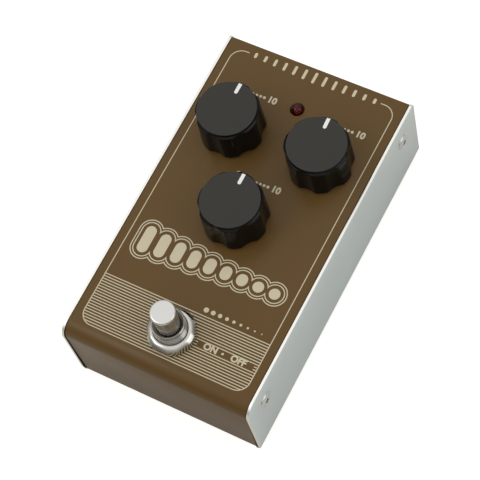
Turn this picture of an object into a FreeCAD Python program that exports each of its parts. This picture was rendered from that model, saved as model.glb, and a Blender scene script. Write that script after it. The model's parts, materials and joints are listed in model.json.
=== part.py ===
# Analog delay pedal: folded sheet enclosure, three knobs, footswitch, jacks and the works inside
import FreeCAD, Part
import Sketcher
import math
import os

os.makedirs("parts", exist_ok=True)
doc = FreeCAD.newDocument("DelayPedal")
sheet = doc.addObject("Spreadsheet::Sheet", "Sizes")


# A size keeps its number and the spreadsheet words behind it, so features can be bound to it
class Size:
    def __init__(self, number, words):
        self.number = number
        self.words = words

    def __add__(self, other):
        return joined(self, "+", other)

    def __radd__(self, other):
        return joined(other, "+", self)

    def __sub__(self, other):
        return joined(self, "-", other)

    def __rsub__(self, other):
        return joined(other, "-", self)

    def __mul__(self, other):
        return joined(self, "*", other)

    def __rmul__(self, other):
        return joined(other, "*", self)

    def __truediv__(self, other):
        return joined(self, "/", other)

    def __neg__(self):
        return joined(0, "-", self)


def number(size):
    return size.number if isinstance(size, Size) else float(size)


def words(size):
    return size.words if isinstance(size, Size) else f"{float(size):.6f}"


def joined(left, sign, right):
    a = number(left)
    b = number(right)
    result = {"+": a + b, "-": a - b, "*": a * b, "/": a / b if b else 0}[sign]
    return Size(result, f"({words(left)} {sign} {words(right)})")


# Sizes in millimetres, each a row of the spreadsheet
sizes = {
    # Enclosure
    "bodyWidth": 74,
    "bodyLength": 128.2,
    "bodyHeight": 36.2,
    "sheetThickness": 1.2,
    "footHeight": 2,
    "footRadius": 6,
    "footInset": 10,
    "baseBend": 2.2,
    "frontBend": 5.5,
    "rearBend": 1.8,
    "coverGap": 0.3,
    "coverStand": 0.4,
    "flangeInset": 0.3,
    "tabLength": 14,
    "tabHeight": 15,
    "screwInset": 10.5,
    "screwLevel": 25.5,
    "screwRadius": 1.5,
    "screwLength": 6,
    "screwHeadRadius": 2.8,
    "screwHeadHeight": 0.8,
    "clinchRadius": 2.1,
    "clinchFlangeRadius": 3,
    "clinchFlangeHeight": 1.5,
    "holeClearance": 0.15,
    "runClearance": 0.06,
    "threadClearance": 0.02,

    # Controls on the top
    "knobSpread": 17.65,
    "rearKnobInset": 34.5,
    "centreKnobStep": 30.9,
    "knobLift": 0.8,
    "knobHeight": 14.5,
    "knobSkirtRadius": 12.1,
    "knobTopRadius": 11.2,
    "knobEdge": 0.45,
    "fluteRadius": 6.9,
    "fluteDepthSkirt": 1.05,
    "fluteDepthTop": 0.6,
    "knobRecessRadius": 7.4,
    "knobRecessDepth": 5.8,
    "insertRadius": 4.6,
    "insertTopSkin": 2,
    "pointerWidth": 1.3,
    "pointerDepth": 0.5,
    "pointerStart": 6.45,
    "grubLevel": 8.6,
    "flatDepth": 0.6,
    "shaftRadius": 3,
    "lampInset": 18.5,
    "lampRadius": 2.45,
    "lampGap": 0.2,
    "lampSink": 0.3,
    "lampFlangeRadius": 2.9,
    "lampFlangeHeight": 1,
    "lampLeadRadius": 0.25,
    "lampLeadSpread": 1.27,
    "spacerWall": 0.8,

    # Potentiometers
    "canRadius": 8.2,
    "canHeight": 8,
    "bushingRadius": 3.5,
    "bushingRise": 5.8,
    "washerHeight": 0.5,
    "washerRadius": 5.9,
    "nutFlats": 10,
    "nutHeight": 2,
    "pinBlockReach": 1.5,
    "pinPitch": 5,

    # Footswitch
    "switchInset": 15.7,
    "switchBushingRadius": 6,
    "switchBushingRise": 9.5,
    "switchBoreRadius": 4.4,
    "threadPitch": 0.75,
    "threadDepth": 0.3,
    "switchMouthRadius": 4.55,
    "switchStemRadius": 4.1,
    "switchHeadRadius": 4.55,
    "switchHeadHeight": 1.5,
    "switchHeadRise": 19.3,
    "switchTravel": 2.5,
    "switchWasherHeight": 0.5,
    "switchWasherRadius": 7.5,
    "switchNutFlats": 15.6,
    "switchNutHeight": 4.2,
    "switchInnerNutFlats": 14,
    "switchInnerNutHeight": 2,
    "switchDrop": 2.6,
    "switchCaseSide": 17.4,
    "switchCaseFloor": 4.8,
    "switchCollarRadius": 5,
    "switchCollarHeight": 1.5,
    "switchStopGap": 0.1,
    "springWire": 0.3,
    "springRadius": 3.4,
    "springPressed": 6.1,
    "lugPitch": 5,
    "lugLength": 4.5,

    # Board and its parts
    "boardThickness": 1.6,
    "boardGap": 0.6,
    "boardSideGap": 0.5,
    "boardOverBattery": 2.5,
    "boardRearGap": 2.1,
    "boardCorner": 1.5,

    # Jacks and power socket
    "jackSideGap": 7,
    "jackCaseSide": 16,
    "jackCaseDepth": 25.1,
    "jackBoreRadius": 3.28,
    "jackBushingRadius": 4.75,
    "jackBushingInside": 5,
    "jackReach": 4,
    "jackCavityRadius": 3.6,
    "jackWasherRadius": 7.2,
    "jackWasherHeight": 0.6,
    "jackNutFlats": 12.7,
    "jackNutHeight": 2.4,
    "powerCaseSide": 10,
    "powerCaseDepth": 12,
    "powerNoseRadius": 4,
    "powerReach": 2.8,
    "powerBoreRadius": 2.9,
    "powerBoreDepth": 9.5,
    "powerPinRadius": 1.05,
    "powerNutFlats": 11,
    "powerNutHeight": 2,

    # Battery
    "batteryLength": 48.5,
    "batteryWidth": 26.5,
    "batteryHeight": 17.5,
    "batteryShift": -3,
    "batteryGap": 3.7,
    "padThickness": 0.5,
    "studHeight": 2,
    "snapThickness": 3,
    "wireRadius": 0.6,
}


# The rows as named values: s.bodyWidth holds the number and stands for the cell in every formula
class SizeSheet:
    def __init__(self):
        for row, (alias, value) in enumerate(sizes.items(), 1):
            sheet.set(f"A{row}", alias)
            sheet.set(f"B{row}", str(value))
            sheet.setAlias(f"B{row}", alias)
            setattr(self, alias, Size(float(value), f"Sizes.{alias}"))


s = SizeSheet()

# Levels and faces worked out from the sizes
plateTop = s.footHeight + s.sheetThickness
top = s.footHeight + s.bodyHeight
underTop = top - s.sheetThickness
coverWidth = s.bodyWidth - s.sheetThickness * 2 - s.coverGap * 2
flangeFoot = plateTop + s.coverStand
frontFace = s.flangeInset - s.bodyLength / 2
rearFace = s.bodyLength / 2 - s.flangeInset
rearInside = rearFace - s.sheetThickness
canBottom = underTop - s.canHeight
boardTop = canBottom - s.boardGap
boardBottom = boardTop - s.boardThickness
jackAxis = boardBottom - s.jackCaseSide / 2
bushingTip = s.bodyLength / 2 + s.jackReach
springHeight = s.springPressed + s.switchTravel
switchCavityDepth = s.switchStopGap + s.switchCollarHeight + springHeight
switchCaseHeight = switchCavityDepth + s.switchCaseFloor
frameShift = -(s.jackReach / 2)
rearKnobPlace = s.bodyLength / 2 - s.rearKnobInset
centreKnobPlace = rearKnobPlace - s.centreKnobStep
lampPlace = s.bodyLength / 2 - s.lampInset
switchPlace = s.switchInset - s.bodyLength / 2
batteryPlace = switchPlace + s.switchCaseSide / 2 + s.batteryGap + s.batteryWidth / 2
jackSpread = s.bodyWidth / 2 - s.jackSideGap - s.jackCaseSide / 2
boardWidth = s.bodyWidth - (s.screwLength + s.boardSideGap) * 2
boardFront = batteryPlace + s.batteryWidth / 2 - s.boardOverBattery
knobBottom = top + s.knobLift
knobTop = knobBottom + s.knobHeight
knobs = {
    "left": (-s.knobSpread, rearKnobPlace),
    "right": (s.knobSpread, rearKnobPlace),
    "centre": (Size(0, "0"), centreKnobPlace),
}

turns = {
    "up": FreeCAD.Rotation(),
    "down": FreeCAD.Rotation(FreeCAD.Vector(1, 0, 0), 180),
    "right": FreeCAD.Rotation(FreeCAD.Vector(0, 1, 0), 90),
    "left": FreeCAD.Rotation(FreeCAD.Vector(0, 1, 0), -90),
    "back": FreeCAD.Rotation(FreeCAD.Vector(1, 0, 0), -90),
}


# Basic shapes bound to sizes
def bind(thing, **sizes):
    for name, size in sizes.items():
        thing.setExpression(name, words(size))
    return thing


def place(thing, spot, way="up"):
    thing.Placement = FreeCAD.Placement(FreeCAD.Vector(), turns[way])
    for axis, size in zip("xyz", spot):
        thing.setExpression("Placement.Base." + axis, words(size))
    return thing


def box(size, low):
    block = doc.addObject("Part::Box", "Block")
    bind(block, Length=size[0], Width=size[1], Height=size[2])
    return place(block, low)


def middleBox(size, centre):
    return box(size, [c - side / 2 for c, side in zip(centre, [asSize(v) for v in size])])


def asSize(value):
    return value if isinstance(value, Size) else Size(float(value), f"{float(value):.6f}")


def rod(radius, length, start, way="up"):
    post = bind(doc.addObject("Part::Cylinder", "Rod"), Radius=radius, Height=length)
    return place(post, start, way)


def taper(lowRadius, highRadius, length, start, way="up"):
    cone = bind(doc.addObject("Part::Cone", "Taper"), Radius1=lowRadius, Radius2=highRadius, Height=length)
    return place(cone, start, way)


def ball(radius, centre):
    return place(bind(doc.addObject("Part::Sphere", "Ball"), Radius=radius), centre)


def sixSided(flats, height, start, way="up"):
    prism = doc.addObject("Part::Prism", "SixSided")
    prism.Polygon = 6
    prism.setExpression("Circumradius", f"({words(flats)}) / 2 / cos(30)")
    prism.setExpression("Height", words(height))
    return place(prism, start, way)


def fuse(*things):
    if len(things) == 1:
        return things[0]
    whole = doc.addObject("Part::MultiFuse", "Joined")
    whole.Shapes = list(things)
    return whole


def cut(base, *tools):
    left = doc.addObject("Part::Cut", "Cut")
    left.Base = base
    left.Tool = fuse(*tools)
    return left


def common(first, second):
    shared = doc.addObject("Part::Common", "Shared")
    shared.Base = first
    shared.Tool = second
    return shared


def ring(outer, inner, length, start, way="up"):
    return cut(rod(outer, length, start, way), rod(inner, length, start, way))


# A node is one compound of its solids, moved so that the whole part is centred on its own box
parts = []


def node(label, *things):
    group = doc.addObject("Part::Compound", label)
    group.Links = list(things)
    group.Label = label
    group.setExpression("Placement.Base.y", words(frameShift))
    parts.append(group)
    return group


# Bodies drawn as sketches
def newBody(label):
    return doc.addObject("PartDesign::Body", label)


def newSketch(body, plane):
    sketch = doc.addObject("Sketcher::SketchObject", "Sketch")
    body.addObject(sketch)
    support = [f for f in body.Origin.OriginFeatures if f.Role == plane][0]
    sketch.AttachmentSupport = (support, [""])
    sketch.MapMode = "FlatFace"
    return sketch


def pinPoint(sketch, line, end, x=None, y=None):
    for kind, size, axis in (("DistanceX", x, -2), ("DistanceY", y, -1)):
        if size is None:
            continue
        if abs(number(size)) < 1e-9:
            sketch.addConstraint(Sketcher.Constraint("PointOnObject", line, end, axis))
            continue
        row = sketch.addConstraint(Sketcher.Constraint(kind, -1, 1, line, end, number(size)))
        if isinstance(size, Size):
            sketch.setExpression(f"Constraints[{row}]", size.words)


def polygon(sketch, points):
    spots = [FreeCAD.Vector(number(x), number(y), 0) for x, y in points]
    count = len(points)
    for i in range(count):
        sketch.addGeometry(Part.LineSegment(spots[i], spots[(i + 1) % count]))
    for i in range(count):
        sketch.addConstraint(Sketcher.Constraint("Coincident", i, 2, (i + 1) % count, 1))
        pinPoint(sketch, i, 1, *points[i])


def circles(sketch, spots):
    for x, y, radius in spots:
        middle = FreeCAD.Vector(number(x), number(y), 0)
        ringLine = sketch.addGeometry(Part.Circle(middle, FreeCAD.Vector(0, 0, 1), number(radius)))
        pinPoint(sketch, ringLine, 3, x, y)
        row = sketch.addConstraint(Sketcher.Constraint("Radius", ringLine, number(radius)))
        sketch.setExpression(f"Constraints[{row}]", words(radius))


# Folded sheet outline: every side level or upright, each corner given with its bend radius
def foldedOutline(sketch, corners):
    count = len(corners)
    spots = [FreeCAD.Vector(number(x), number(y), 0) for x, y, r in corners]
    bends = [number(r) for x, y, r in corners]
    toNext = [(spots[(i + 1) % count] - spots[i]).normalize() for i in range(count)]
    for i in range(count):
        j = (i + 1) % count
        start = spots[i] + toNext[i] * bends[i]
        end = spots[j] - toNext[i] * bends[j]
        sketch.addGeometry(Part.LineSegment(start, end))
        level = abs(toNext[i].y) < 0.5
        sketch.addConstraint(Sketcher.Constraint("Horizontal" if level else "Vertical", i))
        if level:
            pinPoint(sketch, i, 1, y=corners[i][1])
        else:
            pinPoint(sketch, i, 1, x=corners[i][0])
    for i in range(count):
        before = (i - 1) % count
        if bends[i] == 0:
            sketch.addConstraint(Sketcher.Constraint("Coincident", before, 2, i, 1))
            continue
        centre = spots[i] - toNext[before] * bends[i] + toNext[i] * bends[i]
        first = spots[i] - toNext[before] * bends[i] - centre
        last = spots[i] + toNext[i] * bends[i] - centre
        leftTurn = toNext[before].x * toNext[i].y - toNext[before].y * toNext[i].x > 0
        low, high = (first, last) if leftTurn else (last, first)
        a = math.atan2(low.y, low.x)
        b = math.atan2(high.y, high.x)
        if b < a:
            b += 2 * math.pi
        circle = Part.Circle(centre, FreeCAD.Vector(0, 0, 1), bends[i])
        bend = sketch.addGeometry(Part.ArcOfCircle(circle, a, b))
        sketch.addConstraint(Sketcher.Constraint("Tangent", before, 2, bend, 1 if leftTurn else 2))
        sketch.addConstraint(Sketcher.Constraint("Tangent", i, 1, bend, 2 if leftTurn else 1))
        row = sketch.addConstraint(Sketcher.Constraint("Radius", bend, bends[i]))
        sketch.setExpression(f"Constraints[{row}]", words(corners[i][2]))


def pad(body, sketch, length, midplane=False, back=False):
    raised = body.newObject("PartDesign::Pad", "Pad")
    raised.Profile = sketch
    raised.Midplane = midplane
    raised.Reversed = back
    raised.setExpression("Length", words(length))
    body.Tip = raised
    return raised


def pierce(body, sketch, length, midplane=False, back=False):
    doc.recompute()
    before = body.Tip.Shape.Volume
    hole = body.newObject("PartDesign::Pocket", "Pocket")
    hole.Profile = sketch
    hole.Midplane = midplane
    hole.Reversed = back
    hole.setExpression("Length", words(length))
    body.Tip = hole
    doc.recompute()
    if not hole.Shape.Volume < before - 0.01:
        raise RuntimeError(f"{body.Label}: pocket cuts nothing")
    return hole


def turned(points, start=(0, 0, 0), way="up"):
    body = newBody("Turned")
    sketch = newSketch(body, "XZ_Plane")
    polygon(sketch, points)
    spun = body.newObject("PartDesign::Revolution", "Turn")
    spun.Profile = sketch
    spun.ReferenceAxis = (sketch, ["V_Axis"])
    spun.Angle = 360
    body.Tip = spun
    return place(body, start, way)


def roundEdges(body, radius, chosen):
    doc.recompute()
    shape = body.Tip.Shape
    names = [f"Edge{i + 1}" for i, edge in enumerate(shape.Edges) if chosen(edge)]
    if not names:
        raise RuntimeError(f"{body.Label}: no edge to round")
    soft = body.newObject("PartDesign::Fillet", "Round")
    soft.Base = (body.Tip if body.Tip != soft else soft.BaseFeature, names)
    soft.setExpression("Radius", words(radius))
    body.Tip = soft
    return body


def upright(edge):
    return edge.BoundBox.ZLength > 0.1 and max(edge.BoundBox.XLength, edge.BoundBox.YLength) < 0.01


def roundedBlock(size, low, radius):
    body = newBody("RoundedBlock")
    sketch = newSketch(body, "XY_Plane")
    polygon(sketch, [(0, 0), (size[0], 0), (size[0], size[1]), (0, size[1])])
    pad(body, sketch, size[2])
    roundEdges(body, radius, upright)
    return place(body, low)


# A wire is straight runs joined by round bends, each taking a share of the shorter run
def wire(points, radius, share=0.45):
    path = [FreeCAD.Vector(*[number(v) for v in p]) for p in points]
    edges = []
    here = path[0]
    for before, corner, after in zip(path, path[1:], path[2:]):
        arriving = corner - before
        leaving = after - corner
        half = arriving.getAngle(leaving) / 2
        reach = min(arriving.Length, leaving.Length) * share
        arriving.normalize()
        leaving.normalize()
        start = corner - arriving * reach
        end = corner + leaving * reach
        bend = reach / math.tan(half)
        inward = (leaving - arriving).normalize()
        middle = corner + inward * (bend / math.cos(half) - bend)
        if start.distanceToPoint(here) > 1e-4:
            edges.append(Part.LineSegment(here, start).toShape())
        else:
            start = here
        edges.append(Part.Arc(start, middle, end).toShape())
        here = end
    edges.append(Part.LineSegment(here, path[-1]).toShape())
    section = Part.Face(Part.Wire(Part.makeCircle(number(radius), path[0], path[1] - path[0])))
    strand = doc.addObject("Part::Feature", "Strand")
    strand.Shape = Part.Wire(edges).makePipe(section)
    return strand


# Enclosure
def makeBase():
    body = newBody("BaseSheet")
    sketch = newSketch(body, "XZ_Plane")
    half = s.bodyWidth / 2
    inner = half - s.sheetThickness
    innerBend = s.baseBend - s.sheetThickness
    foldedOutline(sketch, [
        (-half, top, 0), (-half, s.footHeight, s.baseBend), (half, s.footHeight, s.baseBend), (half, top, 0),
        (inner, top, 0), (inner, plateTop, innerBend), (-inner, plateTop, innerBend), (-inner, top, 0),
    ])
    pad(body, sketch, s.bodyLength, midplane=True)
    ends = number(s.bodyLength) / 2
    level = number(top)

    def corner(side):
        def chosen(edge):
            middle = edge.CenterOfMass
            return abs(middle.y - side * ends) < 0.01 and abs(middle.z - level) < 0.01
        return chosen

    roundEdges(body, s.frontBend, corner(-1))
    roundEdges(body, s.rearBend, corner(1))
    holes = newSketch(body, "YZ_Plane")
    along = s.bodyLength / 2 - s.screwInset
    height = s.footHeight + s.screwLevel
    circles(holes, [(along, height, s.screwRadius + s.holeClearance),
                    (-along, height, s.screwRadius + s.holeClearance)])
    pierce(body, holes, s.bodyWidth * 2, midplane=True)
    node("base_tray", body)


def makeCover():
    body = newBody("CoverSheet")
    sketch = newSketch(body, "YZ_Plane")
    foldedOutline(sketch, [
        (frontFace, flangeFoot, 0), (frontFace, top, s.frontBend), (rearFace, top, s.rearBend),
        (rearFace, flangeFoot, 0),
        (rearInside, flangeFoot, 0), (rearInside, underTop, s.rearBend - s.sheetThickness),
        (frontFace + s.sheetThickness, underTop, s.frontBend - s.sheetThickness),
        (frontFace + s.sheetThickness, flangeFoot, 0),
    ])
    pad(body, sketch, coverWidth, midplane=True)
    doc.recompute()
    topHoles = newSketch(body, "XY_Plane")
    spots = [(x, y, s.bushingRadius + s.holeClearance) for x, y in knobs.values()]
    spots.append((0, lampPlace, s.lampRadius + s.lampGap))
    spots.append((0, switchPlace, s.switchBushingRadius + s.holeClearance))
    circles(topHoles, spots)
    pierce(body, topHoles, top + 1, back=True)
    rearHoles = newSketch(body, "XZ_Plane")
    circles(rearHoles, [
        (-jackSpread, jackAxis, s.jackBushingRadius + s.holeClearance),
        (jackSpread, jackAxis, s.jackBushingRadius + s.holeClearance),
        (0, jackAxis, s.powerNoseRadius + s.holeClearance),
    ])
    pierce(body, rearHoles, s.bodyLength)
    tabs = []
    holes = []
    height = s.footHeight + s.screwLevel
    for side in (-1, 1):
        outer = coverWidth / 2 * side
        low = outer if side < 0 else outer - s.sheetThickness
        for end in (-1, 1):
            face = frontFace + s.sheetThickness / 2 if end < 0 else rearFace - s.sheetThickness / 2 - s.tabLength
            tabs.append(box((s.sheetThickness, s.tabLength, s.tabHeight),
                            (low, face, height - s.tabHeight / 2)))
            along = (s.bodyLength / 2 - s.screwInset) * end
            holes.append(rod(s.clinchRadius, s.sheetThickness, (low, along, height), "right"))
    node("top_cover", cut(fuse(body, *tabs), *holes))


def sideSpots():
    for side in (-1, 1):
        for end in (-1, 1):
            yield side, (s.bodyLength / 2 - s.screwInset) * end


def makeScrews():
    screws = []
    nuts = []
    height = s.footHeight + s.screwLevel
    for side, along in sideSpots():
        face = s.bodyWidth / 2 * side
        outward = "right" if side > 0 else "left"
        head = turned([
            (0, 0), (s.screwHeadRadius, 0), (s.screwHeadRadius, s.screwHeadHeight * 0.35),
            (s.screwHeadRadius * 0.88, s.screwHeadHeight * 0.72),
            (s.screwHeadRadius * 0.6, s.screwHeadHeight * 0.95),
            (s.screwHeadRadius * 0.3, s.screwHeadHeight), (0, s.screwHeadHeight),
        ], (face, along, height), outward)
        shank = rod(s.screwRadius, s.screwLength, (face, along, height), "left" if side > 0 else "right")
        reach = s.screwHeadHeight * 0.3
        middle = face + (s.screwHeadHeight * 1.2 - reach) * side
        slotLong = s.screwHeadRadius * 1.1
        slots = [middleBox((s.screwHeadHeight, slotLong, 0.6), (middle, along, height)),
                 middleBox((s.screwHeadHeight, 0.6, slotLong), (middle, along, height))]
        screws.append(cut(fuse(head, shank), *slots))
        inside = (coverWidth / 2 - s.sheetThickness) * side
        inward = "left" if side > 0 else "right"
        flange = rod(s.clinchFlangeRadius, s.clinchFlangeHeight, (inside, along, height), inward)
        collar = rod(s.clinchRadius, s.sheetThickness, (inside, along, height), outward)
        through = s.clinchFlangeHeight + s.sheetThickness
        bore = rod(s.screwRadius + s.threadClearance, through, (coverWidth / 2 * side, along, height), inward)
        nuts.append(cut(fuse(flange, collar), bore))
    node("cover_screws", *screws)
    node("clinch_nuts", *nuts)


def makeFeet():
    feet = []
    edge = 0.7
    for side in (-1, 1):
        for end in (-1, 1):
            spot = ((s.bodyWidth / 2 - s.footInset) * side, (s.bodyLength / 2 - s.footInset) * end, 0)
            feet.append(turned([(0, 0), (s.footRadius - edge, 0), (s.footRadius - 0.2, edge * 0.4),
                                (s.footRadius, edge), (s.footRadius, s.footHeight), (0, s.footHeight)], spot))
    node("rubber_feet", *feet)


# Knobs: seven broad lobes, a flat top and an inlaid pointer, on a brass insert
def makeKnob(name, x, y):
    count = 7
    valleySkirt = s.knobSkirtRadius - s.fluteDepthSkirt
    valleyTop = s.knobTopRadius - s.fluteDepthTop
    blank = turned([(0, 0), (s.knobSkirtRadius, 0), (s.knobTopRadius, s.knobHeight - s.knobEdge),
                    (s.knobTopRadius - s.knobEdge * 0.3, s.knobHeight - s.knobEdge * 0.3),
                    (s.knobTopRadius - s.knobEdge, s.knobHeight), (0, s.knobHeight)], (x, y, knobBottom))
    flutes = []
    reach = valleySkirt + s.fluteRadius
    for i in range(count):
        angle = 90 + 360 / count * (i + 0.5)
        spot = (x + reach * math.cos(math.radians(angle)), y + reach * math.sin(math.radians(angle)),
                knobBottom)
        flutes.append(taper(s.fluteRadius, reach - valleyTop, s.knobHeight, spot))
    outer = cut(blank, *flutes)
    softened = doc.addObject("Part::Fillet", "SoftLobes")
    softened.Base = outer
    doc.recompute()
    chosen = []
    for i, edge in enumerate(outer.Shape.Edges):
        long = edge.BoundBox.ZLength > number(s.knobHeight) * 0.7
        if long:
            chosen.append((i + 1, 0.8, 0.8))
    softened.Edges = chosen
    insertLength = s.knobHeight - s.knobRecessDepth - s.insertTopSkin
    insertBottom = knobBottom + s.knobRecessDepth
    recess = rod(s.knobRecessRadius, s.knobRecessDepth, (x, y, knobBottom))
    seat = rod(s.insertRadius, insertLength, (x, y, insertBottom))
    grubHeight = knobBottom + s.grubLevel
    grubHole = rod(s.screwRadius + s.threadClearance, s.knobSkirtRadius, (x, y, grubHeight), "back")

    def pointerTool():
        low = knobTop - s.pointerDepth
        start = y + s.pointerStart + s.pointerWidth / 2
        flat = box((s.pointerWidth, s.knobSkirtRadius, s.pointerDepth), (x - s.pointerWidth / 2, start, low))
        tip = rod(s.pointerWidth / 2, s.pointerDepth, (x, start, low))
        return fuse(flat, tip)

    node(name + "_knob", cut(softened, recess, seat, grubHole, pointerTool()))
    node(name + "_knob_pointer", common(pointerTool(), softened))
    bore = rod(s.shaftRadius + s.threadClearance, insertLength - 0.4, (x, y, insertBottom))
    node(name + "_knob_insert", cut(rod(s.insertRadius, insertLength, (x, y, insertBottom)), bore,
                                    rod(s.screwRadius + s.threadClearance, s.insertRadius * 2,
                                        (x, y, grubHeight), "back")))
    grubStart = s.shaftRadius - s.flatDepth
    grubLength = s.knobTopRadius - 0.6 - grubStart
    grub = cut(rod(s.screwRadius, grubLength, (x, y + grubStart, grubHeight), "back"),
               sixSided(1.5, 1.2, (x, y + grubStart + grubLength - 1.2, grubHeight), "back"))
    node(name + "_knob_screw", grub)
    shaftBottom = canBottom + 2.5
    shaftTop = insertBottom + insertLength - 0.6
    shaft = rod(s.shaftRadius, shaftTop - shaftBottom, (x, y, shaftBottom))
    flat = box((s.shaftRadius * 2, s.flatDepth, insertLength),
               (x - s.shaftRadius, y + s.shaftRadius - s.flatDepth, insertBottom))
    node(name + "_pot_shaft", cut(shaft, flat))


def makePots():
    cans = []
    pins = []
    bushings = []
    washers = []
    nuts = []
    blockBottom = boardTop + s.boardGap * 2
    for x, y in knobs.values():
        can = rod(s.canRadius, s.canHeight, (x, y, canBottom))
        block = box((s.pinPitch * 2 + 2, s.canRadius - 3 + s.pinBlockReach, 2),
                    (x - s.pinPitch - 1, y - s.canRadius - s.pinBlockReach, blockBottom))
        well = rod(s.shaftRadius + 0.4, s.canHeight - 2, (x, y, canBottom + 2))
        cans.append(cut(fuse(can, block), well))
        for i in (-1, 0, 1):
            pins.append(middleBox((0.9, 0.5, blockBottom - boardTop),
                                  (x + s.pinPitch * i, y - s.canRadius - 0.75, (blockBottom + boardTop) / 2)))
        rise = s.bushingRise + s.sheetThickness
        sleeve = turned([(s.shaftRadius + s.runClearance, 0), (s.bushingRadius, 0),
                         (s.bushingRadius, rise - 0.4),
                         (s.bushingRadius - 0.3, rise), (s.shaftRadius + s.runClearance, rise)],
                         (x, y, underTop))
        bushings.append(sleeve)
        washers.append(ring(s.washerRadius, s.bushingRadius + s.holeClearance, s.washerHeight, (x, y, top)))
        nutBottom = top + s.washerHeight
        hexagon = sixSided(s.nutFlats, s.nutHeight, (x, y, nutBottom))
        nuts.append(cut(hexagon, rod(s.bushingRadius + s.threadClearance, s.nutHeight, (x, y, nutBottom))))
    node("pot_cans", *cans)
    node("pot_terminals", *pins)
    node("pot_bushings", *bushings)
    node("pot_washers", *washers)
    node("pot_nuts", *nuts)


def makeLamp():
    spacerTop = underTop - 4.4
    centre = top - s.lampSink
    stem = rod(s.lampRadius, centre - spacerTop, (0, lampPlace, spacerTop))
    flange = rod(s.lampFlangeRadius, s.lampFlangeHeight, (0, lampPlace, spacerTop))
    node("indicator_lamp", fuse(stem, flange, ball(s.lampRadius, (0, lampPlace, centre))))
    node("lamp_spacer", ring(s.lampFlangeRadius, s.lampFlangeRadius - s.spacerWall, spacerTop - boardTop,
                             (0, lampPlace, boardTop)))
    leads = [rod(s.lampLeadRadius, spacerTop - boardTop, (s.lampLeadSpread * side, lampPlace,
                                                          boardTop)) for side in (-1, 1)]
    node("lamp_leads", *leads)


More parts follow.
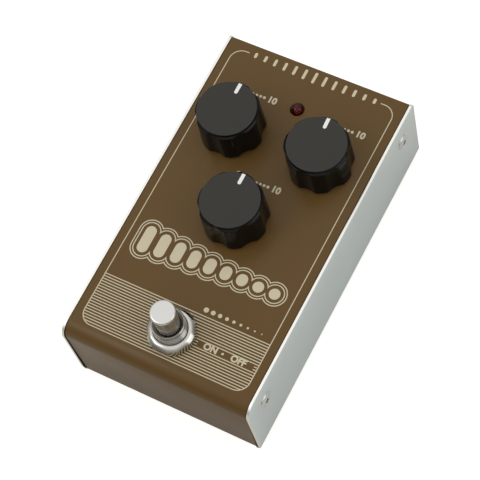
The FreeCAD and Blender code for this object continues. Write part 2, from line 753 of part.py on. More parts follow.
# Footswitch: button in a threaded bushing, nut and lock washer above the cover, case below
def makeFootswitch():
    caseTop = underTop - s.switchDrop
    caseBottom = caseTop - switchCaseHeight
    rise = s.switchDrop + s.sheetThickness + s.switchBushingRise
    lipRadius = s.switchBushingRadius - 0.75
    toothCount = 5
    outline = [(s.switchBoreRadius, 0), (s.switchBushingRadius, 0)]
    for i in range(toothCount, 0, -1):
        level = rise - 1.4 - s.threadPitch * i
        outline.append((s.switchBushingRadius, level + s.threadPitch * 0.1))
        outline.append((s.switchBushingRadius - s.threadDepth, level + s.threadPitch * 0.5))
        outline.append((s.switchBushingRadius, level + s.threadPitch * 0.9))
    outline += [(s.switchBushingRadius, rise - 1.4), (lipRadius + 0.25, rise - 0.9),
                (lipRadius + 0.25, rise - 0.25),
                (lipRadius, rise), (s.switchMouthRadius, rise), (s.switchMouthRadius, rise - 1.5),
                (s.switchBoreRadius, rise - 1.7)]
    node("footswitch_bushing", turned(outline, (0, switchPlace, caseTop)))

    low = top + s.switchWasherHeight
    corner = s.switchNutFlats / 2 / math.cos(math.radians(30))
    trim = turned([(0, 0), (s.switchNutFlats * 0.52, 0), (corner, 0.45), (corner, s.switchNutHeight - 0.9),
                   (s.switchNutFlats / 2 - 0.35, s.switchNutHeight), (0, s.switchNutHeight)],
                   (0, switchPlace, low))
    bore = rod(s.switchBushingRadius + s.threadClearance, s.switchNutHeight, (0, switchPlace, low))
    lead = taper(s.switchBushingRadius - 0.25, s.switchBushingRadius + 0.35, 0.6,
                 (0, switchPlace, low + s.switchNutHeight - 0.6))
    node("footswitch_nut", cut(common(sixSided(s.switchNutFlats, s.switchNutHeight, (0, switchPlace, low)),
                                      trim), bore, lead))
    node("footswitch_washer", ring(s.switchWasherRadius, s.switchBushingRadius + s.holeClearance,
                                   s.switchWasherHeight, (0, switchPlace, top)))
    innerLow = underTop - s.switchInnerNutHeight
    inner = sixSided(s.switchInnerNutFlats, s.switchInnerNutHeight, (0, switchPlace, innerLow))
    node("footswitch_inner_nut", cut(inner, rod(s.switchBushingRadius + s.threadClearance,
                                                s.switchInnerNutHeight, (0, switchPlace, innerLow))))

    case = roundedBlock((s.switchCaseSide, s.switchCaseSide, switchCaseHeight),
                        (-(s.switchCaseSide / 2), switchPlace - s.switchCaseSide / 2, caseBottom), 0.8)
    cavity = rod(s.switchCollarRadius + 0.2, switchCavityDepth,
                 (0, switchPlace, caseTop - switchCavityDepth))
    node("footswitch_case", cut(case, cavity))
    lugs = []
    for column in (-1, 0, 1):
        for line in (-1, 0, 1):
            lug = middleBox((2, 0.7, s.lugLength), (s.lugPitch * column, switchPlace + s.lugPitch * line,
                                                    caseBottom - s.lugLength / 2))
            eye = rod(0.5, 2, (s.lugPitch * column, switchPlace + s.lugPitch * line - 1,
                               caseBottom - s.lugLength * 0.7), "back")
            lugs.append(cut(lug, eye))
    node("footswitch_terminals", *lugs)

    # Button: flat head, plain stem, guide that runs in the bushing and a collar that stops it under the bushing
    stemBottom = caseTop - switchCavityDepth + springHeight
    headTop = top + s.switchHeadRise
    tall = headTop - stemBottom
    guide = top + s.switchBushingRise - 2 - stemBottom
    head = s.switchHeadRadius
    edge = 0.45
    outline = [(0, 0), (s.switchCollarRadius, 0), (s.switchCollarRadius, s.switchCollarHeight),
               (s.switchBoreRadius - s.runClearance, s.switchCollarHeight),
               (s.switchBoreRadius - s.runClearance, guide - 0.3),
               (s.switchStemRadius, guide), (s.switchStemRadius, tall - s.switchHeadHeight),
               (head - 0.15, tall - s.switchHeadHeight), (head, tall - s.switchHeadHeight + 0.15),
               (head, tall - edge),
               (head - edge * 0.3, tall - edge * 0.3), (head - edge, tall), (0, tall)]
    node("footswitch_button", turned(outline, (0, switchPlace, stemBottom)))

    springLow = caseTop - switchCavityDepth
    springTurns = 5
    steps = 8
    climb = (number(springHeight) - number(s.springWire) * 2) / (springTurns * steps)
    reach = number(s.springRadius) / math.cos(math.pi / steps)
    coil = []
    for i in range(springTurns * steps + 1):
        angle = 2 * math.pi / steps * i
        coil.append((reach * math.cos(angle), number(switchPlace) + reach * math.sin(angle),
                     number(springLow) + number(s.springWire) + climb * i))
    node("footswitch_spring", wire(coil, s.springWire, 0.5))


# Circuit board and what is soldered to its underside
def makeBoard():
    length = rearInside - s.boardRearGap - boardFront
    board = roundedBlock((boardWidth, length, s.boardThickness),
                         (-(boardWidth / 2), boardFront, boardBottom), s.boardCorner)
    node("circuit_board", board)

    across = boardWidth / 61
    along = (rearInside - s.jackCaseDepth - boardFront) / 49.5

    # Places are steps of a grid over the free part of the board: 61 steps across and 49.5 along
    def spots(*steps):
        return [(across * x, boardFront + along * y, *rest) for x, y, *rest in steps]

    chips = []
    bodyWide = 6.35
    for x, y, legCount in spots((-12, 14, 16), (12, 14, 8), (12, 28, 8), (-14, 28, 14)):
        long = legCount / 2 * 2.54
        chip = [middleBox((long, bodyWide, 3.3), (x, y, boardBottom - 2.65))]
        for i in range(legCount // 2):
            legX = x - long / 2 + 1.27 + 2.54 * i
            for side in (-1, 1):
                chip.append(middleBox((0.5, 0.6, 3), (legX, y + (bodyWide / 2 + 0.1) * side,
                                                      boardBottom - 1.5)))
        notch = rod(0.9, 0.5, (x - long / 2, y, boardBottom - 4.3))
        chips.append(cut(fuse(*chip), notch))
    node("integrated_circuits", *chips)

    cans = []
    for x, y, r, l in spots((-27, 6, 3.15, 11), (-27, 14, 2.5, 8), (-27, 22, 2.5, 8), (27, 7, 3.15, 11),
                            (27, 16, 2.5, 8), (27, 24, 2.5, 8), (0, 30, 3.15, 9), (0, 40, 2.5, 8),
                            (-27, 32, 2.5, 8), (27, 33, 3.15, 11)):
        cans.append(turned([(0, 0), (r, 0), (r, 0.8), (r - 0.3, 1.2), (r, 1.6), (r, l - 0.3), (r - 0.3, l),
                            (0, l)],
                           (x, y, boardBottom), "down"))
    node("electrolytic_capacitors", *cans)

    films = []
    for x, y in spots(*[(x, y) for y in (36, 44) for x in (-18, -9, 9, 18)]):
        films.append(roundedBlock((7, 2.5, 6), (x - 3.5, y - 1.25, boardBottom - 6), 0.5))
    node("film_capacitors", *films)

    resistors = []
    for x, start, row in spots(*[(x, start, row) for start, count in ((2.4, 3), (19.6, 2)) for row in range(count)
                                 for x in (-14, 14)]):
        y = start + 2.5 * row
        low = boardBottom - 1.3
        bead = turned([(0, 0), (0.9, 0), (1.15, 0.5), (1.15, 1.2), (0.95, 1.5), (0.95, 4.5), (1.15, 4.8),
                       (1.15, 5.5), (0.9, 6), (0, 6)], (x - 3, y, low), "right")
        legs = [middleBox((9, 0.5, 0.5), (x, y, low))]
        for side in (-1, 1):
            legs.append(middleBox((0.5, 0.5, 1.3), (x + 4.5 * side, y, low + 0.65)))
        resistors.append(fuse(bead, *legs))
    node("resistors", *resistors)

    trimmers = []
    for x, y in spots((0, 6.2), (0, 21.6), (0, 48)):
        low = boardBottom - 4.6
        trimmers.append(cut(middleBox((6.6, 6.6, 4.6), (0, y, low + 2.3)), ring(2.6, 2, 0.4, (0, y, low)),
                            middleBox((2.8, 0.6, 0.8), (0, y, low))))
    node("trimmer_pots", *trimmers)


# Input and output jacks and the power socket on the rear flange
def makeJacks():
    cases = []
    bushings = []
    washers = []
    nuts = []
    contacts = []
    half = s.jackCaseSide / 2
    for side in (-1, 1):
        x = jackSpread * side
        case = box((s.jackCaseSide, s.jackCaseDepth, s.jackCaseSide),
                   (x - half, rearInside - s.jackCaseDepth, jackAxis - half))
        seat = rod(s.jackBushingRadius, s.jackBushingInside, (x, rearInside - s.jackBushingInside, jackAxis),
                   "back")
        well = rod(s.jackCavityRadius, s.jackCaseDepth - s.jackBushingInside - 1,
                   (x, rearInside - s.jackCaseDepth + 1, jackAxis), "back")
        cases.append(cut(case, seat, well))
        wellEnd = rearInside - s.jackCaseDepth + 1
        contacts.append(fuse(box((2.4, 9, 0.35), (x - 1.2, wellEnd, jackAxis + 2.5)),
                             box((2.4, 0.35, 3), (x - 1.2, wellEnd, jackAxis - 0.15))))
        inner = rearInside - s.jackBushingInside
        long = bushingTip - inner
        bushings.append(turned([(s.jackBoreRadius, 0), (s.jackBushingRadius, 0),
                                (s.jackBushingRadius, long - 0.5),
                                (s.jackBushingRadius - 0.5, long), (s.jackBoreRadius, long)],
                                (x, inner, jackAxis), "back"))
        washers.append(ring(s.jackWasherRadius, s.jackBushingRadius + s.holeClearance, s.jackWasherHeight,
                            (x, rearFace, jackAxis), "back"))
        face = rearFace + s.jackWasherHeight
        corner = s.jackNutFlats / 2 / math.cos(math.radians(30))
        trim = turned([(0, 0), (corner + 0.1, 0), (corner + 0.1, s.jackNutHeight - 0.6),
                       (s.jackNutFlats / 2 - 0.2, s.jackNutHeight), (0, s.jackNutHeight)],
                       (x, face, jackAxis), "back")
        hexagon = common(sixSided(s.jackNutFlats, s.jackNutHeight, (x, face, jackAxis), "back"), trim)
        nuts.append(cut(hexagon, rod(s.jackBushingRadius + s.threadClearance, s.jackNutHeight,
                                     (x, face, jackAxis), "back")))
    node("jack_cases", *cases)
    node("jack_contacts", *contacts)
    node("jack_bushings", *bushings)
    node("jack_washers", *washers)
    node("jack_nuts", *nuts)

    half = s.powerCaseSide / 2
    tip = rearFace + s.powerReach
    case = box((s.powerCaseSide, s.powerCaseDepth, s.powerCaseSide),
               (-half, rearInside - s.powerCaseDepth, jackAxis - half))
    nose = rod(s.powerNoseRadius, tip - rearInside, (0, rearInside, jackAxis), "back")
    bore = rod(s.powerBoreRadius, s.powerBoreDepth, (0, tip - s.powerBoreDepth, jackAxis), "back")
    node("power_socket", cut(fuse(case, nose), bore))
    pinLong = s.powerBoreDepth - 1
    pin = fuse(rod(s.powerPinRadius, pinLong - s.powerPinRadius, (0, tip - s.powerBoreDepth, jackAxis),
                   "back"),
               ball(s.powerPinRadius, (0, tip - s.powerBoreDepth + pinLong - s.powerPinRadius, jackAxis)))
    keep = box((s.powerPinRadius * 2, pinLong, s.powerPinRadius * 2),
               (-s.powerPinRadius, tip - s.powerBoreDepth, jackAxis - s.powerPinRadius))
    node("power_socket_pin", common(pin, keep))
    hexagon = sixSided(s.powerNutFlats, s.powerNutHeight, (0, rearFace, jackAxis), "back")
    node("power_socket_nut", cut(hexagon, rod(s.powerNoseRadius + s.threadClearance, s.powerNutHeight,
                                              (0, rearFace, jackAxis), "back")))
    pins = []
    rise = boardBottom - jackAxis - half
    for x, back in ((0, 2), (0, 9), (3.5, 5.5)):
        pins.append(middleBox((1.6, 0.5, rise), (x, rearInside - back, jackAxis + half + rise / 2)))
    node("power_socket_terminals", *pins)


def makeBattery():
    low = plateTop + s.padThickness
    left = s.batteryShift - s.batteryLength / 2
    front = batteryPlace - s.batteryWidth / 2
    body = newBody("Cell")
    sketch = newSketch(body, "YZ_Plane")
    polygon(sketch, [(front, low), (front + s.batteryWidth, low),
                     (front + s.batteryWidth, low + s.batteryHeight), (front, low + s.batteryHeight)])
    pad(body, sketch, s.batteryLength)

    def along(edge):
        return edge.BoundBox.XLength > 10

    roundEdges(body, 2.4, along)
    node("battery", place(body, (left, 0, 0)))
    node("battery_pad", middleBox((s.batteryLength - 6, s.batteryWidth - 6, s.padThickness),
                                  (s.batteryShift, batteryPlace, plateTop + s.padThickness / 2)))
    end = s.batteryShift + s.batteryLength / 2
    level = low + s.batteryHeight / 2
    studs = [rod(2.8, s.studHeight, (end, batteryPlace - 6.35, level), "right"),
             cut(rod(4, s.studHeight, (end, batteryPlace + 6.35, level), "right"),
                 rod(2.9, s.studHeight, (end, batteryPlace + 6.35, level), "right"))]
    node("battery_studs", *studs)
    snap = middleBox((s.snapThickness, s.batteryWidth - 3, 13),
                     (end + s.studHeight + s.snapThickness / 2, batteryPlace, level))
    node("battery_snap", snap)
    strands = []
    for side in (-1, 1):
        x = end + s.studHeight + s.snapThickness / 2
        y = batteryPlace + 6.35 * side
        far = x - 1.2 + 1.2 * side
        run = boardBottom - 3.4
        landing = boardFront + 1.5
        strands.append(wire([(x, y, level + 6.5), (x, y, run), (far, landing, run),
                             (far, landing, boardBottom)], s.wireRadius))
    node("battery_leads", *strands)


def makeWires():
    lugFace = switchPlace + s.lugPitch + 0.35
    lugLevel = underTop - s.switchDrop - switchCaseHeight - s.lugLength * 0.7
    overBattery = plateTop + s.padThickness + s.batteryHeight + s.wireRadius * 2
    gapMiddle = (batteryPlace - s.batteryWidth / 2 + switchPlace + s.switchCaseSide / 2) / 2
    landing = boardFront + 1.5
    strands = []
    for i in (-1, 0, 1):
        x = s.lugPitch * i
        strands.append(wire([(x, landing, boardBottom), (x, landing, overBattery),
                             (x, gapMiddle, overBattery),
                             (x, gapMiddle, lugLevel), (x, lugFace, lugLevel)], s.wireRadius))
    node("switch_wires", *strands)


makeBase()
makeCover()
makeScrews()
makeFeet()
for knobName, (knobX, knobY) in knobs.items():
    makeKnob(knobName, knobX, knobY)
makePots()
makeLamp()
makeFootswitch()
makeBoard()
makeJacks()
makeBattery()
makeWires()
doc.recompute()

faults = []
for thing in doc.Objects:
    if "Invalid" in thing.State or "Error" in thing.State:
        faults.append(f"{thing.Label}: {thing.State}")
for part in parts:
    shape = part.Shape
    if shape.isNull() or not shape.isValid() or not shape.Solids:
        faults.append(f"{part.Label}: shape is not sound")
        continue
    shape.exportStep(f"parts/{part.Label}.step")
    low = shape.BoundBox
    print(f"{part.Label:26s} solids {len(shape.Solids):3d}  volume {shape.Volume:10.1f}  "
          f"x {low.XMin:7.2f} {low.XMax:7.2f}  y {low.YMin:7.2f} {low.YMax:7.2f}  z {low.ZMin:6.2f} {low.ZMax:6.2f}")
if faults:
    raise SystemExit("\n".join(faults))
print(len(parts), "parts written")
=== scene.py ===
import bpy
import bmesh
import json
import math
from mathutils import Matrix, Vector


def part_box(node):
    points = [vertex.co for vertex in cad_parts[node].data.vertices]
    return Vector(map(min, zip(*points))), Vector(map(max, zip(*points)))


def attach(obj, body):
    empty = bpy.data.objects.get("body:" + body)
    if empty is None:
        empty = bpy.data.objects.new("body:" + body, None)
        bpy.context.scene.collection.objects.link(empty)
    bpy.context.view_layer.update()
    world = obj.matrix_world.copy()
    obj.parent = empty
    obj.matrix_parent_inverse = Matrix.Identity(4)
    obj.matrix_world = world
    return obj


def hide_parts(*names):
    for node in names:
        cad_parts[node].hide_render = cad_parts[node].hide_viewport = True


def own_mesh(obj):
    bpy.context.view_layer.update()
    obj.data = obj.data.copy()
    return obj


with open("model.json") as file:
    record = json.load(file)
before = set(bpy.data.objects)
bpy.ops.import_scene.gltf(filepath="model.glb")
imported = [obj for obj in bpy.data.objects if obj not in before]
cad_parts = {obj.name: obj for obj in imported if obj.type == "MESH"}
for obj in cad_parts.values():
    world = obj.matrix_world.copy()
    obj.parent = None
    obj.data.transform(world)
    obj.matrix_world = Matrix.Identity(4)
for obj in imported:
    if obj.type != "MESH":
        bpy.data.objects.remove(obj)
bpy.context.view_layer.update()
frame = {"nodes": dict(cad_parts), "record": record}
print("frame loaded:", len(frame["nodes"]), "nodes")

mm = 0.001       # pieces are drawn in millimetres and brought to metres when finished
weld = 0.0005    # points closer than this become one
deck = 38.2      # level of the cover's top face

# Places that the cover's holes, the pieces and the print share, and the radius of each hole
spots = {"left": (-17.65, 27.6), "right": (17.65, 27.6), "centre": (0, -3.3), "lamp": (0, 43.6),
         "footswitch": (0, -50.4)}
deckHoles = {"left": 3.65, "right": 3.65, "centre": 3.65, "lamp": 2.65, "footswitch": 6.15}
sockets = {"level": 18.8, "jacks": (-22, 22), "power": 0, "jackHole": 4.9, "powerHole": 4.15}


# Camera
view = {
    "place": (204.74, -204.34, 611.28),
    "right": (0.8747, 0.4614, -0.1485),
    "up": (-0.3697, 0.8332, 0.4113),
    "back": (0.3135, -0.3049, 0.8993),
    "lens": 137.72, "sensor": 36, "near": 0.01, "far": 20,
}


def makeCamera():
    data = bpy.data.cameras.new("photoCamera")
    data.lens = view["lens"]
    data.sensor_width = view["sensor"]
    data.clip_start = view["near"]
    data.clip_end = view["far"]
    camera = bpy.data.objects.new("photoCamera", data)
    bpy.context.scene.collection.objects.link(camera)
    turn = Matrix([view["right"], view["up"], view["back"]]).transposed()
    camera.matrix_world = Matrix.Translation(Vector(view["place"]) * mm) @ turn.to_4x4()
    bpy.context.scene.camera = camera


makeCamera()
bpy.context.scene.view_settings.view_transform = "Standard"


# Node helpers
def addNode(tree, kind, inputs=None, **settings):
    node = tree.nodes.new("ShaderNode" + kind)
    for key, value in settings.items():
        setattr(node, key, value)
    for key, value in (inputs or {}).items():
        socket = node.inputs[key]
        if isinstance(value, bpy.types.NodeSocket):
            tree.links.new(value, socket)
        else:
            socket.default_value = value
    return node


def maths(tree, operation, *terms, clamp=False):
    return addNode(tree, "Math", dict(enumerate(terms)), operation=operation, use_clamp=clamp).outputs[0]


def noise(tree, where, scale, detail, roughness=0.5):
    inputs = {"Vector": where, "Scale": scale, "Detail": detail, "Roughness": roughness}
    return addNode(tree, "TexNoise", inputs).outputs


def remap(tree, value, low, high, start=0, end=1, ease="SMOOTHSTEP"):
    inputs = dict(enumerate((value, low, high, start, end)))
    return addNode(tree, "MapRange", inputs, interpolation_type=ease).outputs[0]


def newGroup(name, inputs, outputs):
    group = bpy.data.node_groups.new(name, "ShaderNodeTree")
    for label, kind, value in inputs:
        socket = group.interface.new_socket(name=label, in_out="INPUT", socket_type="NodeSocket" + kind)
        socket.default_value = value
    for label, kind in outputs:
        group.interface.new_socket(name=label, in_out="OUTPUT", socket_type="NodeSocket" + kind)
    return group, group.nodes.new("NodeGroupInput").outputs, group.nodes.new("NodeGroupOutput").inputs


# Grain and marks of every finish: noises as scale, detail and roughness, masks as the span they rise over
texture = {
    "fine": (3, 0.55), "slow": (55, 4, 0.6), "blotch": (90, 5, 0.65), "blotchSpan": (0.48, 0.72),
    "bend": (25, 2), "wander": (0.02, 0.02, 0.02), "scratchTurn": (0.5, 0.3, 0.7),
    "scratchStretch": (70, 3200, 1500), "streak": (1, 2), "scratchSpan": (0.68, 0.74), "coatRoughness": 0.1,
}


# Fine grain and slow unevenness: colour, roughness and bump of a moulded, painted or plated surface
def makeGrainGroup():
    group, given, out = newGroup("fineGrain", [
        ("Colour", "Color", (0.5, 0.5, 0.5, 1)), ("Scale", "Float", 2500), ("Stretch", "Vector", (1, 1, 1)),
        ("Depth", "Float", 0.00001), ("Roughness", "Float", 0.4), ("Spread", "Float", 0.1),
        ("Shade", "Float", 0.1),
    ], [("Colour", "Color"), ("Roughness", "Float"), ("Normal", "Vector")])
    spot = addNode(group, "TexCoord").outputs["Object"]
    pulled = addNode(group, "VectorMath", {0: spot, 1: given["Stretch"]}, operation="MULTIPLY").outputs[0]
    fine = noise(group, pulled, given["Scale"], *texture["fine"])["Fac"]
    slow = noise(group, spot, *texture["slow"])["Fac"]
    around = maths(group, "SUBTRACT", maths(group, "ADD", fine, slow), 1)
    rough = maths(group, "MULTIPLY_ADD", around, given["Spread"], given["Roughness"])
    shade = maths(group, "MULTIPLY_ADD", around, given["Shade"], 1)
    tint = addNode(group, "VectorMath", {0: given["Colour"], "Scale": shade}, operation="SCALE").outputs[0]
    bump = addNode(group, "Bump", {"Height": fine, "Distance": given["Depth"], "Strength": 1}).outputs[0]
    for source, label in ((tint, "Colour"), (rough, "Roughness"), (bump, "Normal")):
        group.links.new(source, out[label])
    return group


# Handling marks: soft blotches and a few thin scratches, as one mask
def makeMarksGroup():
    t = texture
    group, given, out = newGroup("handlingMarks", [("Blotch", "Float", 0.5), ("Scratch", "Float", 0.5)],
                                 [("Mask", "Float")])
    spot = addNode(group, "TexCoord").outputs["Object"]
    soft = remap(group, noise(group, spot, *t["blotch"])["Fac"], *t["blotchSpan"])
    bend = noise(group, spot, *t["bend"])["Color"]
    bent = addNode(group, "VectorMath", {0: bend, 1: t["wander"], 2: spot}, operation="MULTIPLY_ADD")
    drawing = {"Vector": bent.outputs[0], "Rotation": t["scratchTurn"], "Scale": t["scratchStretch"]}
    drawn = addNode(group, "Mapping", drawing).outputs[0]
    streaks = noise(group, drawn, *t["streak"])["Fac"]
    thin = remap(group, streaks, *t["scratchSpan"], ease="LINEAR")
    softPart = maths(group, "MULTIPLY", soft, given["Blotch"])
    thinPart = maths(group, "MULTIPLY", thin, given["Scratch"])
    group.links.new(maths(group, "ADD", softPart, thinPart, clamp=True), out["Mask"])
    return group


grain = makeGrainGroup()
marks = makeMarksGroup()


def finish(name, colour, roughness, spread=0.1, shade=0.1, scale=2500, depth=0.01, metallic=0,
           stretch=(1, 1, 1), coat=0, blotch=0, scratch=0, specular=0.5, transmission=0, ior=1.5):
    material = bpy.data.materials.new(name)
    material.use_nodes = True
    tree = material.node_tree
    shader = tree.nodes["Principled BSDF"]
    whole = {"Metallic": metallic, "Coat Weight": coat, "Coat Roughness": texture["coatRoughness"],
             "Specular IOR Level": specular, "Transmission Weight": transmission, "IOR": ior}
    for key, value in whole.items():
        shader.inputs[key].default_value = value
    skin = addNode(tree, "Group", {
        "Colour": (*colour, 1), "Scale": scale, "Stretch": stretch, "Depth": depth * mm,
        "Roughness": roughness, "Spread": spread, "Shade": shade,
    }, node_tree=grain)
    rough = skin.outputs["Roughness"]
    if blotch or scratch:
        worn = addNode(tree, "Group", {"Blotch": blotch, "Scratch": scratch}, node_tree=marks)
        rough = maths(tree, "ADD", rough, worn.outputs["Mask"])
    tree.links.new(skin.outputs["Colour"], shader.inputs["Base Color"])
    tree.links.new(rough, shader.inputs["Roughness"])
    tree.links.new(skin.outputs["Normal"], shader.inputs["Normal"])
    return material


finishes = {
    "silver_sheet": finish("rolledSilverSheet", (0.70, 0.785, 0.825), 0.36, spread=0.06, shade=0.03,
                           scale=900, depth=0.004, metallic=1, stretch=(1, 0.08, 1), blotch=0.05,
                           scratch=0.06),
    "brown_paint": finish("brownPowderPaint", (0.103, 0.0555, 0.013), 0.34, spread=0.1, shade=0.1, scale=1900,
                          depth=0.008, specular=0.24),
    "cream_ink": finish("creamInk", (0.515, 0.455, 0.315), 0.5, shade=0.1, scale=2600, depth=0.006),
    "bright_steel": finish("nickelPlate", (0.57, 0.55, 0.51), 0.15, spread=0.08, shade=0.04, scale=1200,
                           depth=0.002, metallic=1, blotch=0.06, scratch=0.1),
    "screw_zinc": finish("zincPlate", (0.66, 0.69, 0.68), 0.22, spread=0.06, shade=0.04, scale=1600,
                         depth=0.002, metallic=1, blotch=0.05),
    "thread_dull": finish("shadedThread", (0.50, 0.48, 0.445), 0.2, spread=0.08, shade=0.1, scale=1500,
                          depth=0.002, metallic=1, blotch=0.1),
    "satin_steel": finish("satinPlate", (0.64, 0.635, 0.61), 0.24, spread=0.1, shade=0.04, scale=1600,
                          depth=0.003, metallic=1, blotch=0.08, scratch=0.08),
    "foot_rubber": finish("footRubber", (0.018, 0.018, 0.018), 0.75, shade=0.2, scale=3500, depth=0.03),
    "knob_black": finish("knobPlastic", (0.003, 0.003, 0.0028), 0.2, spread=0.06, shade=0.1, scale=1500,
                         depth=0.001, blotch=0.03, specular=0.15),
    "pointer_white": finish("pointerFill", (0.74, 0.74, 0.72), 0.45, shade=0.05, scale=4000, depth=0.005),
    "brass_insert": finish("turnedBrass", (0.72, 0.52, 0.22), 0.3, scale=2500, depth=0.005, metallic=1),
    "lamp_cup": finish("leadFrame", (0.16, 0.14, 0.13), 0.3, spread=0.05, scale=3000, depth=0.002,
                       metallic=1),
    "lamp_red": finish("redResin", (0.5, 0.025, 0.02), 0.05, spread=0.02, shade=0.05, depth=0.0,
                       transmission=0.96, ior=1.33),
    "black_plastic": finish("blackMoulding", (0.016, 0.016, 0.017), 0.4, scale=2200, depth=0.008),
    "switch_blue": finish("blueMoulding", (0.02, 0.08, 0.30), 0.4, scale=2200, depth=0.008),
    "board_green": finish("greenBoard", (0.015, 0.10, 0.04), 0.35, shade=0.3, scale=900, depth=0.01,
                          coat=0.4),
    "can_sleeve": finish("capacitorSleeve", (0.02, 0.022, 0.06), 0.3, scale=1800, depth=0.004),
    "film_red": finish("filmCase", (0.36, 0.04, 0.025), 0.35, scale=1500, depth=0.01),
    "resistor_tan": finish("resistorLacquer", (0.52, 0.37, 0.22), 0.35, scale=1500, depth=0.01),
    "trimmer_blue": finish("trimmerCase", (0.04, 0.18, 0.46), 0.4, scale=2200, depth=0.008),
    "battery_jacket": finish("batteryJacket", (0.06, 0.06, 0.07), 0.3, metallic=0.6, scale=700, depth=0.004),
    "pad_foam": finish("padFoam", (0.05, 0.05, 0.05), 0.9, shade=0.4, scale=1400, depth=0.15),
    "wire_cover": finish("wireCover", (0.30, 0.015, 0.015), 0.4, scale=2200, depth=0.006),
}


# A mask that is 1 where a value lies between two limits
def between(tree, value, low, high):
    over = maths(tree, "GREATER_THAN", value, low)
    under = maths(tree, "LESS_THAN", value, high)
    return maths(tree, "MULTIPLY", over, under)


mixSockets = {"factor": 0, "first": 6, "second": 7, "result": 2}    # of the Mix node when it mixes colours


def recolour(material, mask, colour):
    tree = material.node_tree
    m = mixSockets
    base = tree.nodes["Principled BSDF"].inputs["Base Color"]
    inputs = {m["factor"]: mask, m["first"]: base.links[0].from_socket, m["second"]: (*colour, 1)}
    mix = addNode(tree, "Mix", inputs, data_type="RGBA")
    tree.links.new(mix.outputs[m["result"]], base)


# The cheeks' cut edges get a painted highlight, lighter and warmer than the sheet, and their inner side, seen
# only through gaps, is painted near-black as shade
sheetSides = {
    "edgeLow": 4.5, "facing": 0.5, "edge": (0.88, 0.865, 0.81),
    "inner": 36.05, "innerLow": 2.95, "innerHigh": 36.5, "gapShade": (0.06, 0.06, 0.055),
}


def finishSheetSides(material):
    tree = material.node_tree
    s = sheetSides
    look = addNode(tree, "TexCoord").outputs
    spot = addNode(tree, "SeparateXYZ", {0: look["Object"]}).outputs
    normal = addNode(tree, "SeparateXYZ", {0: look["Normal"]}).outputs
    # painted highlight: the cheeks' top and end edges coloured lighter and warmer
    standing = maths(tree, "GREATER_THAN", spot["Z"], s["edgeLow"] * mm)
    endwise = between(tree, normal["X"], -s["facing"], s["facing"])
    recolour(material, maths(tree, "MULTIPLY", standing, endwise), s["edge"])
    # painted shade: the sheet's inner side, seen through the gaps, coloured near-black
    tall = between(tree, spot["Z"], s["innerLow"] * mm, s["innerHigh"] * mm)
    within = between(tree, spot["X"], -s["inner"] * mm, s["inner"] * mm)
    recolour(material, maths(tree, "MULTIPLY", tall, within), s["gapShade"])


# Another colour between two levels, in millimetres; it paints shade and sheen onto bands of a part
def finishLevels(material, low, high, colour):
    tree = material.node_tree
    height = addNode(tree, "SeparateXYZ", {0: addNode(tree, "TexCoord").outputs["Object"]}).outputs["Z"]
    recolour(material, between(tree, height, low * mm, high * mm), colour)


def dressNodes():
    for entry in frame["record"]["subparts"]:
        thing = frame["nodes"][entry["node"]]
        material = finishes[entry["material_slot"]]
        if not thing.material_slots:
            thing.data.materials.append(material)
        for slot in thing.material_slots:
            slot.material = material


finishSheetSides(finishes["silver_sheet"])
dressNodes()
print("finishes made:", len(finishes))


# Modelling helpers, all in millimetres
def linked(name, bm):
    mesh = bpy.data.meshes.new(name)
    bm.to_mesh(mesh)
    bm.free()
    thing = bpy.data.objects.new(name, mesh)
    bpy.context.scene.collection.objects.link(thing)
    return thing


# What an object shows, with its modifiers or its letters worked out
def shapeOf(thing):
    mesh = bpy.data.meshes.new_from_object(thing.evaluated_get(bpy.context.evaluated_depsgraph_get()))
    bm = bmesh.new()
    bm.from_mesh(mesh)
    bpy.data.meshes.remove(mesh)
    return bm


def carve(bm, cutter, operation="DIFFERENCE"):
    base = linked("carved", bm)
    tool = linked("carver", cutter)
    boolean = base.modifiers.new("carve", "BOOLEAN")
    boolean.solver = "EXACT"
    boolean.operation = operation
    boolean.object = tool
    result = shapeOf(base)
    for thing in (base, tool):
        old = thing.data
        bpy.data.objects.remove(thing)
        bpy.data.meshes.remove(old)
    return result


def join(bm, other, place=None):
    mesh = bpy.data.meshes.new("joining")
    other.to_mesh(mesh)
    other.free()
    if place:
        mesh.transform(place)
    bm.from_mesh(mesh)
    bpy.data.meshes.remove(mesh)


def at(x, y, z, turn=0, axis="Z"):
    return Matrix.Translation((x, y, z)) @ Matrix.Rotation(math.radians(turn), 4, axis)


def placed(name, bm, slot, body="enclosure", instead=(), place=None, sharp=32, look=None):
    if place:
        bmesh.ops.transform(bm, matrix=place, verts=bm.verts)
    bmesh.ops.scale(bm, vec=(mm, mm, mm), verts=bm.verts)
    bmesh.ops.recalc_face_normals(bm, faces=bm.faces)
    thing = linked(name, bm)
    thing.data.shade_smooth()
    thing.data.set_sharp_from_angle(angle=math.radians(sharp))
    thing.data.materials.append(finishes[look or slot])
    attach(thing, body)
    if instead:
        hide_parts(*instead)
    return thing


def bevelled(bm, geom, width, segments, affect="EDGES", clamp=False):
    bmesh.ops.bevel(bm, geom=geom, offset=width, offset_type="OFFSET", segments=segments, profile=0.5,
                    affect=affect, clamp_overlap=clamp, material=-1)


def soften(bm, width, segments=2, least=40):
    edges = []
    for edge in bm.edges:
        if len(edge.link_faces) == 2 and edge.calc_face_angle(0) > math.radians(least):
            edges.append(edge)
    bevelled(bm, edges, width, segments, clamp=True)


# Points of a quarter circle, from its side to its top
def quarter(x, y, radius, steps):
    angles = [math.pi / 2 * i / steps for i in range(steps + 1)]
    return [(x + radius * math.cos(angle), y + radius * math.sin(angle)) for angle in angles]


# A path drawn out sideways into a strip
def strip(path, shift):
    bm = bmesh.new()
    verts = [bm.verts.new(point) for point in path]
    edges = [bm.edges.new(pair) for pair in zip(verts, verts[1:])]
    made = bmesh.ops.extrude_edge_only(bm, edges=edges)["geom"]
    bmesh.ops.translate(bm, vec=shift, verts=[item for item in made if isinstance(item, bmesh.types.BMVert)])
    bmesh.ops.recalc_face_normals(bm, faces=bm.faces)
    return bm


